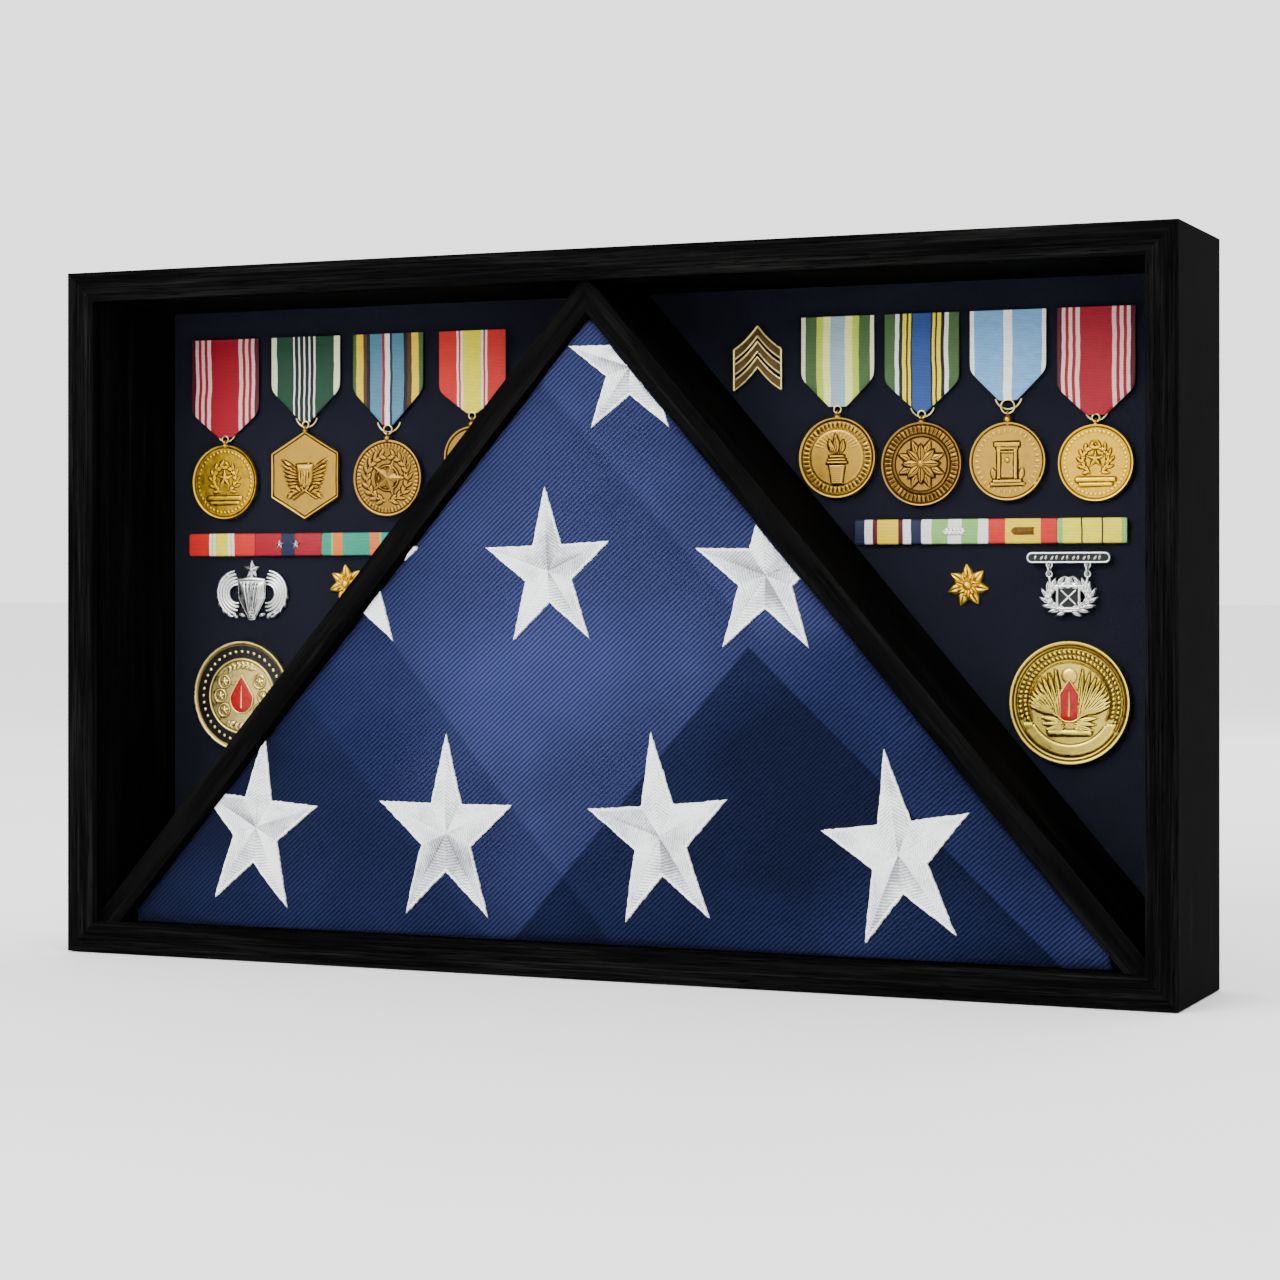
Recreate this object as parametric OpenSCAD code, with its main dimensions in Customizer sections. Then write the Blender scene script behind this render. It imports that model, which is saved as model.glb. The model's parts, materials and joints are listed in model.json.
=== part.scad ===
// Shadow-box display case for a folded flag and medals.
// X runs across the case, Y from the glass to the back and Z up.
// The origin is the middle of the underside. All sizes are in millimetres.

/* [Case] */
// Overall width of the frame
case_w = 580; // [570:5:600]
// Overall height of the frame
case_h = 350; // [345:5:370]
// Depth of the frame boards, front to back
case_d = 84; // [80:1:92]
// Thickness of the frame boards
wall = 15; // [14:1:16]

/* [Glass] */
// Wood left in front of the glass
lip_t = 4; // [3:0.5:5]
// Thickness of the glass
glass_t = 2.5; // [2:0.5:3]
// Depth of the groove that holds the glass
groove_d = 4; // [3:0.5:5]

/* [Back panel] */
// Thickness of the back panel
panel_t = 4; // [3:0.5:5]
// Thickness of the felt lining
felt_t = 1; // [0.8:0.1:1.5]
// Width of the rebate that the back panel sits in
rebate_w = 5; // [4:0.5:5]

/* [Flag space] */
// Width of the flag space along the bottom board
tri_base = 527; // [515:1:530]
// Height of the flag space above the bottom board
tri_h = 305; // [295:1:310]
// Thickness of the two slanted dividers
divider_t = 12; // [10:1:12]
// Thickness of the folded flag
flag_t = 58; // [40:1:60]

/* [Turn buttons] */
// Length of a turn button from its pivot to its tip
button_reach = 18; // [14:1:20]
// Width of a turn button
button_w = 8; // [6:1:9]
// Thickness of a turn button
button_t = 1.6; // [1.2:0.2:2]

/* [Medals] */
// Height of the top edge of the medal ribbons above the underside
ribbon_top = 320; // [316:1:324]
// Width of the ribbons in the left wing
left_ribbon_w = 41; // [35:1:42]
// Width of the ribbons in the right wing
right_ribbon_w = 37.5; // [35:0.5:38]
// Thickness of a folded ribbon
ribbon_t = 1.4; // [1:0.2:1.6]
// Thickness of a medal pendant
pendant_t = 2.4; // [2:0.2:3]
// Diameter of the two coins
coin_dia = 58; // [40:1:58]

/* [Hidden] */

$fn = 48;
black_wood = [0.09, 0.09, 0.09];
gold = [0.80, 0.64, 0.30];
silver = [0.78, 0.79, 0.80];
steel = [0.62, 0.63, 0.65];
navy = [0.08, 0.08, 0.15];

// Planes of the case, front to back. The bumpers are the rearmost thing.
bumper_t = 4;
front_y = -(case_d + bumper_t) / 2;
rear_y = front_y + case_d;
inner_x = case_w / 2 - wall;
floor_z = wall;
ceiling_z = case_h - wall;
groove_w = glass_t + 0.3;
glass_y = front_y + lip_t + 0.15;
panel_gap = 0.3;
rebate_t = panel_t + 0.5;
panel_y = rear_y - rebate_t + panel_gap;
felt_y = panel_y - felt_t;
divider_y = glass_y + glass_t + 0.85;
divider_d = felt_y - 0.7 - divider_y;

// The slope of the dividers, and where their outer faces run.
tri_angle = atan(tri_h / (tri_base / 2));
outer_shift = divider_t / sin(tri_angle);
function outer_x(z) = tri_base / 2 + outer_shift - (z - floor_z) / tan(tri_angle);
function outer_z(x) = floor_z + (tri_base / 2 + outer_shift - x) * tan(tri_angle);

// Turn buttons: [pivot x, pivot z, direction of the open tongue in degrees].
land = wall - rebate_w;
button_gap = 0.3;
button_y = rear_y + button_gap;
screw_r = 1.25;
screw_head_h = 1.2;
top_button_x = 120;
BUTTONS = [
    [-top_button_x, case_h - land / 2, 0], [top_button_x, case_h - land / 2, 0],
    [-top_button_x, land / 2, 180], [top_button_x, land / 2, 180],
    [-case_w / 2 + land / 2, case_h / 2, 90], [case_w / 2 - land / 2, case_h / 2, -90]
];

// Medals: [x, ribbon width, drop to the shoulder, drop to the tip, tip width,
// pendant radius, drop to the pendant's centre, drop to the ring's centre,
// ring radius]. Drops are measured down from the top of the ribbon.
left_pitch = 49;
right_pitch = 43;
left_x = -242;
right_x = 104;
MEDALS = [
    [left_x, left_ribbon_w, 39, 52, 9, 19.5, 76, 53.2, 1.8],
    [left_x + left_pitch, left_ribbon_w, 28, 45, 5, 23, 73, 46.4, 1.8],
    [left_x + 2 * left_pitch, left_ribbon_w, 29.5, 47.5, 6, 19.7, 75.2, 50, 2.4],
    [left_x + 3 * left_pitch, left_ribbon_w - 3, 31, 42.5, 6, 15.5, 65, 43.8, 1.8],
    [right_x, right_ribbon_w, 30, 44, 9, 19.5, 69, 45.4, 1.8],
    [right_x + right_pitch, right_ribbon_w, 33, 47.5, 5, 20, 72.8, 48.8, 1.8],
    [right_x + 2 * right_pitch, right_ribbon_w, 29, 43, 9, 18.5, 72.2, 46, 3.3],
    [right_x + 3 * right_pitch, right_ribbon_w, 38, 51, 9, 18, 73.6, 52.4, 1.8]
];
wire_r = 0.4;
eyelet_r = 1.1;
eyelet_wire_r = 0.35;
stem_r = 0.8;
ribbon_y = felt_y - 1.6 - ribbon_t;
ring_y = ribbon_y + ribbon_t / 2;
pendant_y = ring_y - pendant_t / 2;

// Ribbon bars: [left end, number of ribbons, width of one ribbon, middle height].
bar_h = 12;
BAR_LEFT = [-264, 3, 40.5, 210.5];
BAR_RIGHT = [113, 4, 33.8, 214.5];
rail_t = 1;
service_t = 2;

// Badges and coins: centres on the felt.
badge_t = 1.6;
badge_y = felt_y - 0.8 - badge_t;
chevron_at = [62, 301];
winged_at = [-226, 182];
gold_left_at = [-169, 189.5];
gold_right_at = [170, 188.5];
hang_at = [220, 201.7];
hang_bar_w = 41;
hang_y = felt_y - 2.6 - badge_t;
link_x = 9.3;
link_r = 2.2;
bar_eye_z = hang_at[1] - 3.4;
ear_eye_z = bar_eye_z - 2 * link_r;
coin_left_at = [-231, 130];
coin_right_at = [220.5, 133];
coin_t = 3;
pad_t = 1.2;
coin_y = felt_y - pad_t - coin_t;

// Draws a shape of the XZ plane as a prism that starts at y and is t thick.
module prism(y, t) {
    translate([0, y + t, 0]) rotate([90, 0, 0]) linear_extrude(t) children();
}

// A round bar along Y that starts at point p.
module bar_y(p, r, t) {
    translate(p) rotate([-90, 0, 0]) cylinder(r = r, h = t);
}

// A closed ring of wire around the Y axis.
module wire_ring(r, wire) {
    rotate([90, 0, 0]) rotate_extrude() translate([r, 0]) circle(r = wire, $fn = 20);
}

// A round-ended bar in the XZ plane, w long and h high, about its centre.
module stadium(w, h) {
    square([w - h, h], center = true);
    for (side = [-1, 1]) translate([side * (w - h) / 2, 0]) circle(d = h);
}

// A regular star with its first point up.
module star(r, points = 5, waist = 0.4) {
    polygon([for (i = [0 : 2 * points - 1])
        let (a = 90 + i * 180 / points, s = i % 2 == 0 ? r : r * waist)
        [s * cos(a), s * sin(a)]]);
}

// Section of a frame board: the glass groove in front, the panel rebate behind.
module board_section() {
    difference() {
        translate([front_y, 0]) square([case_d, wall]);
        translate([front_y + lip_t, wall - groove_d]) square([groove_w, groove_d + 1]);
        translate([rear_y - rebate_t, wall - rebate_w]) square([rebate_t + 1, rebate_w + 1]);
    }
}

// A mitred board, lying along X with its inner face up.
module board(length) {
    half = length / 2;
    intersection() {
        rotate([90, 0, 90]) linear_extrude(length, center = true) board_section();
        prism(front_y - 1, case_d + 2)
            polygon([[-half, 0], [half, 0], [half - wall, wall], [wall - half, wall]]);
    }
}

// Holes for everything that is driven into the frame boards.
module frame_holes() {
    v_nail_solids();
    screw_solids();
    divider_nail_solids();
    hanger_nail_solids();
}

module bottom_rail() {
    color(black_wood) difference() {
        board(case_w);
        frame_holes();
    }
}

module top_rail() {
    color(black_wood) difference() {
        translate([0, 0, case_h]) mirror([0, 0, 1]) board(case_w);
        frame_holes();
    }
}

module left_stile() {
    color(black_wood) difference() {
        translate([-case_w / 2, 0, case_h / 2]) rotate([0, 90, 0]) board(case_h);
        frame_holes();
    }
}

module right_stile() {
    color(black_wood) difference() {
        translate([case_w / 2, 0, case_h / 2]) rotate([0, -90, 0]) board(case_h);
        frame_holes();
    }
}

// One V-nail across each mitre, driven in from the back.
module v_nail_solids() {
    leg = 5;
    nail_depth = 10;
    nail_t = 0.7;
    for (sx = [-1, 1], top = [false, true])
        translate([sx * (case_w / 2 - land / 2), 0, top ? case_h - land / 2 : land / 2])
            mirror([sx > 0 ? 1 : 0, 0, 0]) mirror([0, 0, top ? 1 : 0])
                prism(rear_y - nail_depth, nail_depth)
                    for (a = [0, 90]) rotate(a) translate([-nail_t / 2, -nail_t / 2])
                        square([leg, nail_t]);
}

module corner_v_nails() {
    color(steel) v_nail_solids();
}

module glass() {
    edge = groove_d - 0.5;
    color([0.8, 0.9, 0.95, 0.3])
        translate([-inner_x - edge, glass_y, floor_z - edge])
            cube([2 * (inner_x + edge), glass_t, ceiling_z - floor_z + 2 * edge]);
}

// The right-hand divider. Its foot fills the lower corner and its head is
// mitred against the other divider under the top rail.
module divider_half() {
    prism(divider_y, divider_d) polygon([
        [tri_base / 2, floor_z], [inner_x, floor_z], [inner_x, outer_z(inner_x)],
        [outer_x(ceiling_z), ceiling_z], [0, ceiling_z], [0, floor_z + tri_h]
    ]);
}

module right_divider() {
    color(black_wood) difference() {
        divider_half();
        divider_nail_solids();
    }
}

module left_divider() {
    color(black_wood) difference() {
        mirror([1, 0, 0]) divider_half();
        divider_nail_solids();
    }
}

// Two nails through the bottom rail into each foot, and two through the top
// rail into each head.
module divider_nail_solids() {
    nail_r = 0.7;
    nail_len = 22;
    foot_x = (tri_base / 2 + inner_x) / 2;
    head_x = 1.8;
    for (sx = [-1, 1], y = [divider_y + 15, divider_y + divider_d - 15]) {
        translate([sx * foot_x, y, 0.5]) cylinder(r = nail_r, h = nail_len);
        translate([sx * head_x, y, case_h - 0.5 - nail_len]) cylinder(r = nail_r, h = nail_len);
    }
}

module divider_nails() {
    color(steel) divider_nail_solids();
}

// The flag, folded to a triangle. Its rim is eased where the folds turn.
module folded_flag() {
    gap = 1;
    ease = 4;
    flag_y = glass_y + glass_t + 2.3;
    half = tri_base / 2 - gap / sin(tri_angle);
    height = half * tan(tri_angle);
    color([0.14, 0.2, 0.42]) hull() {
        prism(flag_y + ease, flag_t - 2 * ease)
            polygon([[-half, floor_z], [half, floor_z], [0, floor_z + height]]);
        prism(flag_y, flag_t) polygon([
            [-half + 3 * ease, floor_z + ease], [half - 3 * ease, floor_z + ease],
            [0, floor_z + height - 3 * ease]
        ]);
    }
}

module back_panel() {
    edge = rebate_w - 0.5;
    color([0.35, 0.27, 0.2])
        translate([-inner_x - edge, panel_y, floor_z - edge])
            cube([2 * (inner_x + edge), panel_t, ceiling_z - floor_z + 2 * edge]);
}

module felt_lining() {
    edge = 0.5;
    color(navy)
        translate([-inner_x + edge, felt_y, floor_z + edge])
            cube([2 * (inner_x - edge), felt_t, ceiling_z - floor_z - 2 * edge]);
}

// A turn button, drawn open along the frame board.
module turn_button(i) {
    button = BUTTONS[i];
    color(steel) difference() {
        translate([button[0], 0, button[1]]) rotate([0, -button[2], 0])
            prism(button_y, button_t) {
                translate([(button_reach - button_w / 2) / 2, 0])
                    stadium(button_reach + button_w / 2, button_w);
            }
        bar_y([button[0], button_y - 1, button[1]], screw_r + 0.08, button_t + 2);
    }
}

// Pan-head screws that the turn buttons pivot on.
module screw_solids() {
    screw_len = 12;
    head_y = button_y + button_t + 0.2;
    for (button = BUTTONS) {
        bar_y([button[0], rear_y - screw_len, button[1]], screw_r, screw_len + head_y - rear_y);
        bar_y([button[0], head_y, button[1]], 3, screw_head_h);
    }
}

module turn_button_screws() {
    color(steel) screw_solids();
}

// Sawtooth hangers on the back of the top rail.
hanger_x = 205;
hanger_w = 46;
hanger_h = 9;
hanger_t = 1;
hanger_nail_x = 19;

module sawtooth_hangers() {
    tooth = 2.2;
    color(steel) for (sx = [-1, 1])
        translate([sx * hanger_x, 0, case_h - land / 2])
            difference() {
                prism(rear_y, hanger_t) difference() {
                    stadium(hanger_w, hanger_h);
                    for (i = [-5 : 5]) translate([i * tooth, -hanger_h / 2])
                        circle(r = tooth / 2 + 0.3, $fn = 3);
                }
                for (nx = [-1, 1])
                    bar_y([nx * hanger_nail_x, rear_y - 1, 0], 0.8, hanger_t + 2);
            }
}

module hanger_nail_solids() {
    for (sx = [-1, 1], nx = [-1, 1]) {
        x = sx * hanger_x + nx * hanger_nail_x;
        bar_y([x, rear_y - 10, case_h - land / 2], 0.8, 10 + hanger_t);
        bar_y([x, rear_y + hanger_t, case_h - land / 2], 1.8, 0.7);
    }
}

module hanger_nails() {
    color(steel) hanger_nail_solids();
}

// Rubber bumpers at the four rear corners.
module wall_bumpers() {
    inset = 18;
    color([0.12, 0.12, 0.12]) for (sx = [-1, 1], z = [land / 2, case_h - land / 2])
        bar_y([sx * (case_w / 2 - inset), rear_y, z], 4, bumper_t);
}

// The wire ring that a pendant hangs from.
module ring_at(i, extra = 0) {
    translate([MEDALS[i][0], ring_y, ribbon_top - MEDALS[i][7]])
        wire_ring(MEDALS[i][8], wire_r + extra);
}

// A medal ribbon: straight down to the shoulders, then in to the ring.
module ribbon(i) {
    m = MEDALS[i];
    color([0.7, 0.15, 0.2]) difference() {
        translate([m[0], 0, ribbon_top]) prism(ribbon_y, ribbon_t) polygon([
            [-m[1] / 2, 0], [m[1] / 2, 0], [m[1] / 2, -m[2]], [m[4] / 2, -m[3]],
            [-m[4] / 2, -m[3]], [-m[1] / 2, -m[2]]
        ]);
        ring_at(i, 0.05);
    }
}

module suspension_rings() {
    color(gold) for (i = [0 : len(MEDALS) - 1]) ring_at(i);
}

// A pendant: a plate with a raised rim, and a stem with an eyelet that links
// it with its ring. The second medal's plate has six sides.
module pendant(i) {
    m = MEDALS[i];
    sides = i == 1 ? 6 : 72;
    rim = 2;
    recess = 0.5;
    plate_z = ribbon_top - m[6];
    eyelet_z = ribbon_top - m[7] - m[8];
    stem_z = plate_z + m[5] - rim / 2;
    color(gold) {
        translate([m[0], pendant_y, plate_z]) rotate([-90, 0, 0]) rotate(90) difference() {
            cylinder(r = m[5], h = pendant_t, $fn = sides);
            translate([0, 0, -1]) cylinder(r = m[5] - rim, h = 1 + recess, $fn = sides);
        }
        translate([m[0], ring_y, stem_z]) cylinder(r = stem_r, h = eyelet_z - eyelet_r - stem_z);
        translate([m[0], ring_y, eyelet_z]) rotate([0, 0, 90])
            wire_ring(eyelet_r, eyelet_wire_r);
    }
}

// Brooch bars behind the tops of the ribbons.
module medal_brooches() {
    brooch_h = 4;
    color(gold) for (m = MEDALS)
        translate([m[0] - m[1] / 2 + 3, ribbon_y + ribbon_t, ribbon_top - brooch_h - 2])
            cube([m[1] - 6, felt_y - ribbon_y - ribbon_t, brooch_h]);
}

// The pins that hold the pieces on the felt.
function pins_of(at, half) = [[at[0] - half, at[1]], [at[0] + half, at[1]]];
PINS = concat(
    [for (m = MEDALS, s = [-1, 1]) [m[0] + s * m[1] / 4, ribbon_top - 4]],
    [for (b = [BAR_LEFT, BAR_RIGHT], f = [0.1, 0.9]) [b[0] + f * b[1] * b[2], b[3]]],
    pins_of([chevron_at[0], chevron_at[1] + 3], 4), pins_of(winged_at, 4), pins_of(gold_left_at, 4),
    pins_of(gold_right_at, 4), pins_of(hang_at, 15)
);

module mounting_pins() {
    pin_r = 0.5;
    badge_pins = len(MEDALS) * 2 + 4;
    hang_pins = len(PINS) - 2;
    color(steel) for (i = [0 : len(PINS) - 1]) {
        y = i < badge_pins ? felt_y : (i < hang_pins ? badge_y : hang_y) + badge_t;
        bar_y([PINS[i][0], y, PINS[i][1]], pin_r, felt_y + felt_t + 3 - y);
    }
}

module ribbon_rail(bar) {
    color(steel) translate([bar[0] + 1, felt_y - rail_t, bar[3] - bar_h / 2 + 1])
        cube([bar[1] * bar[2] - 2, rail_t, bar_h - 2]);
}

module service_ribbons(bar) {
    seam = 0.1;
    color([0.75, 0.6, 0.2]) for (i = [0 : bar[1] - 1])
        translate([bar[0] + i * bar[2] + seam, felt_y - rail_t - service_t, bar[3] - bar_h / 2])
            cube([bar[2] - 2 * seam, service_t, bar_h]);
}

// Small stars and sprigs worn on the service ribbons.
module ribbon_devices() {
    device_t = 0.8;
    y = felt_y - rail_t - service_t - device_t;
    color(silver) {
        for (s = [-1, 1])
            translate([BAR_LEFT[0] + 1.5 * BAR_LEFT[2] + s * 5, 0, BAR_LEFT[3]])
                prism(y, device_t) star(2.6);
        translate([BAR_RIGHT[0] + 1.5 * BAR_RIGHT[2], 0, BAR_RIGHT[3]])
            prism(y, device_t) stadium(11, 4);
        translate([BAR_RIGHT[0] + 2.5 * BAR_RIGHT[2], 0, BAR_RIGHT[3]])
            prism(y, device_t) stadium(12, 4);
    }
}

// Three chevrons on a thin backing strip.
module chevron_pin() {
    half = 13;
    rise = 11.5;
    arm = 4.6;
    step = 7.6;
    color(gold) translate([chevron_at[0], 0, chevron_at[1]]) {
        for (i = [-1 : 1]) prism(badge_y, badge_t) translate([0, i * step - rise / 2])
            polygon([[-half, -arm / 2], [0, rise - arm / 2], [half, -arm / 2],
                [half, arm / 2], [0, rise + arm / 2], [-half, arm / 2]]);
        prism(badge_y + badge_t / 2, badge_t / 2) translate([0, 2]) square([3, 18], center = true);
    }
}

// A tapered shield between two curled wings, with a small star above it.
module winged_badge() {
    wing_x = 11.8;
    wing_r = 11.2;
    cap_z = 10;
    tip_z = -11;
    star_z = 15.4;
    color(silver) translate([winged_at[0], 0, winged_at[1]]) prism(badge_y, badge_t) {
        for (s = [-1, 1]) difference() {
            translate([s * wing_x, 0]) circle(r = wing_r);
            translate([s * (wing_x - 2.4), 2.4]) circle(r = 4.4);
        }
        polygon([[-8, cap_z], [8, cap_z], [6.5, 5], [1.6, tip_z], [-1.6, tip_z], [-6.5, 5]]);
        translate([0, (cap_z + star_z) / 2]) square([2, star_z - cap_z + 2], center = true);
        translate([0, star_z]) star(4.9);
    }
}

// A round gold badge in the outline of a leafy sprig.
module sprig_badge(at) {
    color(gold) translate([at[0], 0, at[1]]) prism(badge_y, badge_t) {
        circle(r = 7.5);
        for (a = [0 : 60 : 359]) rotate(a + 30) translate([7.5, 0]) circle(r = 4);
    }
}

// The bar of the hanging badge, with an eye at each link.
module hanging_badge_bar() {
    color(silver) difference() {
        translate([hang_at[0], 0, 0]) prism(hang_y, badge_t) {
            translate([0, hang_at[1]]) stadium(hang_bar_w, 5.5);
            for (s = [-1, 1]) translate([s * link_x, bar_eye_z]) circle(r = 1.8);
        }
        link_eyes(bar_eye_z);
    }
}

// The two holes that the links pass through.
module link_eyes(z) {
    for (s = [-1, 1])
        bar_y([hang_at[0] + s * link_x, hang_y - 1, z], 0.9, badge_t + 2);
}

// Each link is one wire ring that passes through two eyes.
module hanging_badge_links() {
    color(silver) for (s = [-1, 1])
        translate([hang_at[0] + s * link_x, hang_y + badge_t / 2, bar_eye_z - link_r])
            rotate([0, 0, 90]) wire_ring(link_r, 0.5);
}

// An oval wreath of leaves around a square centre, hung from the two links.
module hanging_badge_wreath() {
    leaves = 14;
    leaf_r = 3.1;
    oval = [10.9, 7.2];
    wreath_z = hang_at[1] - 18.8;
    color(silver) difference() {
        translate([hang_at[0], 0, 0]) prism(hang_y, badge_t) {
            translate([0, wreath_z]) {
                for (i = [0 : leaves - 1]) let (a = (i + 0.5) * 360 / leaves)
                    translate([oval[0] * cos(a), oval[1] * sin(a)]) circle(r = leaf_r);
                square([11, 11], center = true);
                square([2 * oval[0], 2], center = true);
            }
            for (s = [-1, 1]) translate([s * link_x, ear_eye_z]) {
                circle(r = 1.8);
                translate([0, -3.5]) square([2.6, 6], center = true);
            }
        }
        link_eyes(ear_eye_z);
    }
}

// A coin: a disc with a raised rim.
module coin(at) {
    rim = 3;
    color(gold) translate([at[0], coin_y, at[1]]) rotate([-90, 0, 0]) difference() {
        cylinder(d = coin_dia, h = coin_t, $fn = 96);
        translate([0, 0, -1]) cylinder(d = coin_dia - 2 * rim, h = 1.5, $fn = 96);
    }
}

// Stick-on pads behind the coins.
module coin_pads() {
    color(black_wood) for (at = [coin_left_at, coin_right_at])
        bar_y([at[0], felt_y - pad_t, at[1]], 12, pad_t);
}

top_rail();
bottom_rail();
left_stile();
right_stile();
corner_v_nails();
glass();
left_divider();
right_divider();
divider_nails();
folded_flag();
back_panel();
felt_lining();
turn_button(0);  // turn_button_1
turn_button(1);  // turn_button_2
turn_button(2);  // turn_button_3
turn_button(3);  // turn_button_4
turn_button(4);  // turn_button_5
turn_button(5);  // turn_button_6
turn_button_screws();
sawtooth_hangers();
hanger_nails();
wall_bumpers();
ribbon(0);  // ribbon_1
ribbon(1);  // ribbon_2
ribbon(2);  // ribbon_3
ribbon(3);  // ribbon_4
ribbon(4);  // ribbon_5
ribbon(5);  // ribbon_6
ribbon(6);  // ribbon_7
ribbon(7);  // ribbon_8
pendant(0);  // pendant_1
pendant(1);  // pendant_2
pendant(2);  // pendant_3
pendant(3);  // pendant_4
pendant(4);  // pendant_5
pendant(5);  // pendant_6
pendant(6);  // pendant_7
pendant(7);  // pendant_8
suspension_rings();
medal_brooches();
mounting_pins();
ribbon_rail(BAR_LEFT);  // ribbon_rail_left
ribbon_rail(BAR_RIGHT);  // ribbon_rail_right
service_ribbons(BAR_LEFT);  // service_ribbons_left
service_ribbons(BAR_RIGHT);  // service_ribbons_right
ribbon_devices();
chevron_pin();
winged_badge();
sprig_badge(gold_left_at);  // gold_badge_left
sprig_badge(gold_right_at);  // gold_badge_right
hanging_badge_bar();
hanging_badge_links();
hanging_badge_wreath();
coin(coin_left_at);  // coin_left
coin(coin_right_at);  // coin_right
coin_pads();
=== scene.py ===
"""The looks of a folded flag display case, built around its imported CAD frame."""

import json
import math

import bmesh
import bpy
import numpy as np
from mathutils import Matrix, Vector
from mathutils.bvhtree import BVHTree


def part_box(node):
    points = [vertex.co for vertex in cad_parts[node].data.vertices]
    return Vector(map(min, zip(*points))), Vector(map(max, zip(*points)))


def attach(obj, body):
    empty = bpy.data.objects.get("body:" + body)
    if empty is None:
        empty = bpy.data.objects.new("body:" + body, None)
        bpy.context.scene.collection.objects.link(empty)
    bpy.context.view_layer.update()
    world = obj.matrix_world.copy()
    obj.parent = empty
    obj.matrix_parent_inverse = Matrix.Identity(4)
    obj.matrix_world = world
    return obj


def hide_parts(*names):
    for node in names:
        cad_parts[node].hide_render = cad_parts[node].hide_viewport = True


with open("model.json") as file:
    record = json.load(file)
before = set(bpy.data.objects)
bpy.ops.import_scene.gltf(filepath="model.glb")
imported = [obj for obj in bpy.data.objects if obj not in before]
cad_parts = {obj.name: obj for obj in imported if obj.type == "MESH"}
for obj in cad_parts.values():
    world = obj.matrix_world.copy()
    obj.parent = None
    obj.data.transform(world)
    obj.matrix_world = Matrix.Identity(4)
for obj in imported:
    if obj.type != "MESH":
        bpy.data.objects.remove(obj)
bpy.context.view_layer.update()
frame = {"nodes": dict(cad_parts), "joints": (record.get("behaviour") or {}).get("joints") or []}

MM = 0.001
nodes = frame["nodes"]

# ---------------------------------------------------------------- planes and places, in millimetres


def box_mm(node):
    """The lowest and highest corners of a CAD node, in millimetres."""
    low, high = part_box(node)
    return np.array(low) / MM, np.array(high) / MM


def middle_of(low, high):
    """The middle of a box in X and Z."""
    return (low[0] + high[0]) / 2, (low[2] + high[2]) / 2


def joint_place(child):
    """Where the joint that carries a body has its anchor, in millimetres."""
    joint = next(j for j in frame["joints"] if j["child"] == child)
    return [c / MM for c in joint["pos_m"]]


def spoke(radius, degrees, centre=(0, 0)):
    """The point at an angle from the X axis on a circle."""
    turn = math.radians(degrees)
    return centre[0] + radius * math.cos(turn), centre[1] + radius * math.sin(turn)


def link_new(name, data):
    """A new object in the scene."""
    item = bpy.data.objects.new(name, data)
    bpy.context.scene.collection.objects.link(item)
    return item


def points_of(mesh):
    return np.array([v.co for v in mesh.vertices])


def shade_smooth(mesh):
    mesh.polygons.foreach_set("use_smooth", [True] * len(mesh.polygons))


PANEL_LOW, PANEL_HIGH = box_mm("felt_lining")
FELT_Y = PANEL_LOW[1]
FLAG_LOW, FLAG_HIGH = box_mm("folded_flag")
FLAG_HALF = FLAG_HIGH[0]
FLAG_HEIGHT = FLAG_HIGH[2] - FLAG_LOW[2]
SLOPE = FLAG_HEIGHT / FLAG_HALF
DIVIDER_DEG = math.degrees(math.atan(SLOPE))
RIBBON_TOP = box_mm("ribbon_1")[1][2]

# ---------------------------------------------------------------- camera, lights and floor


CAMERA_PLACE = (0.5916, -1.3501, 0.1857)
CAMERA_TURN_DEG = 23.2
CAMERA_SHIFT_Y = -0.038
LENS_MM = 84.2
CASE_MIDDLE = (0, 0, 0.16)
FLOOR_HALF = 40
FLOOR_GAP = 0.0005


def add_camera():
    """The camera stands to the right of the case, level with its middle."""
    data = bpy.data.cameras.new("camera")
    data.sensor_width = 36
    data.lens = LENS_MM
    data.shift_y = CAMERA_SHIFT_Y
    camera = link_new("camera", data)
    camera.location = CAMERA_PLACE
    camera.rotation_euler = (math.radians(90), 0, math.radians(CAMERA_TURN_DEG))
    bpy.context.scene.camera = camera


def add_area_light(name, place, size, watts):
    """A rectangular light that faces the case."""
    data = bpy.data.lights.new(name, "AREA")
    data.shape = "RECTANGLE"
    data.size, data.size_y = size
    data.energy = watts
    light = link_new(name, data)
    light.location = place
    aim = Vector(CASE_MIDDLE) - Vector(place)
    light.rotation_euler = aim.to_track_quat("-Z", "Y").to_euler()


def add_studio():
    """Soft light from all round, a soft box in front and one behind, and a pale floor."""
    world = bpy.data.worlds.new("studio")
    world.use_nodes = True
    background = world.node_tree.nodes["Background"]
    background.inputs["Color"].default_value = (1.0, 1.0, 1.0, 1)
    background.inputs["Strength"].default_value = 2.2
    bpy.context.scene.world = world
    add_area_light("front_soft_box", (-0.9, -2.2, 1.5), (1.6, 1.2), 85)
    add_area_light("rear_soft_box", (0.4, 2.4, 1.6), (1.8, 1.2), 34)
    half = FLOOR_HALF
    mesh = bpy.data.meshes.new("floor")
    corners = [(-half, -half, 0), (half, -half, 0), (half, half, 0), (-half, half, 0)]
    mesh.from_pydata(corners, [], [(0, 1, 2, 3)])
    floor = link_new("floor", mesh)
    floor.location.z = -FLOOR_GAP
    mesh.materials.append(floor_paper())


# ---------------------------------------------------------------- node materials


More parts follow.
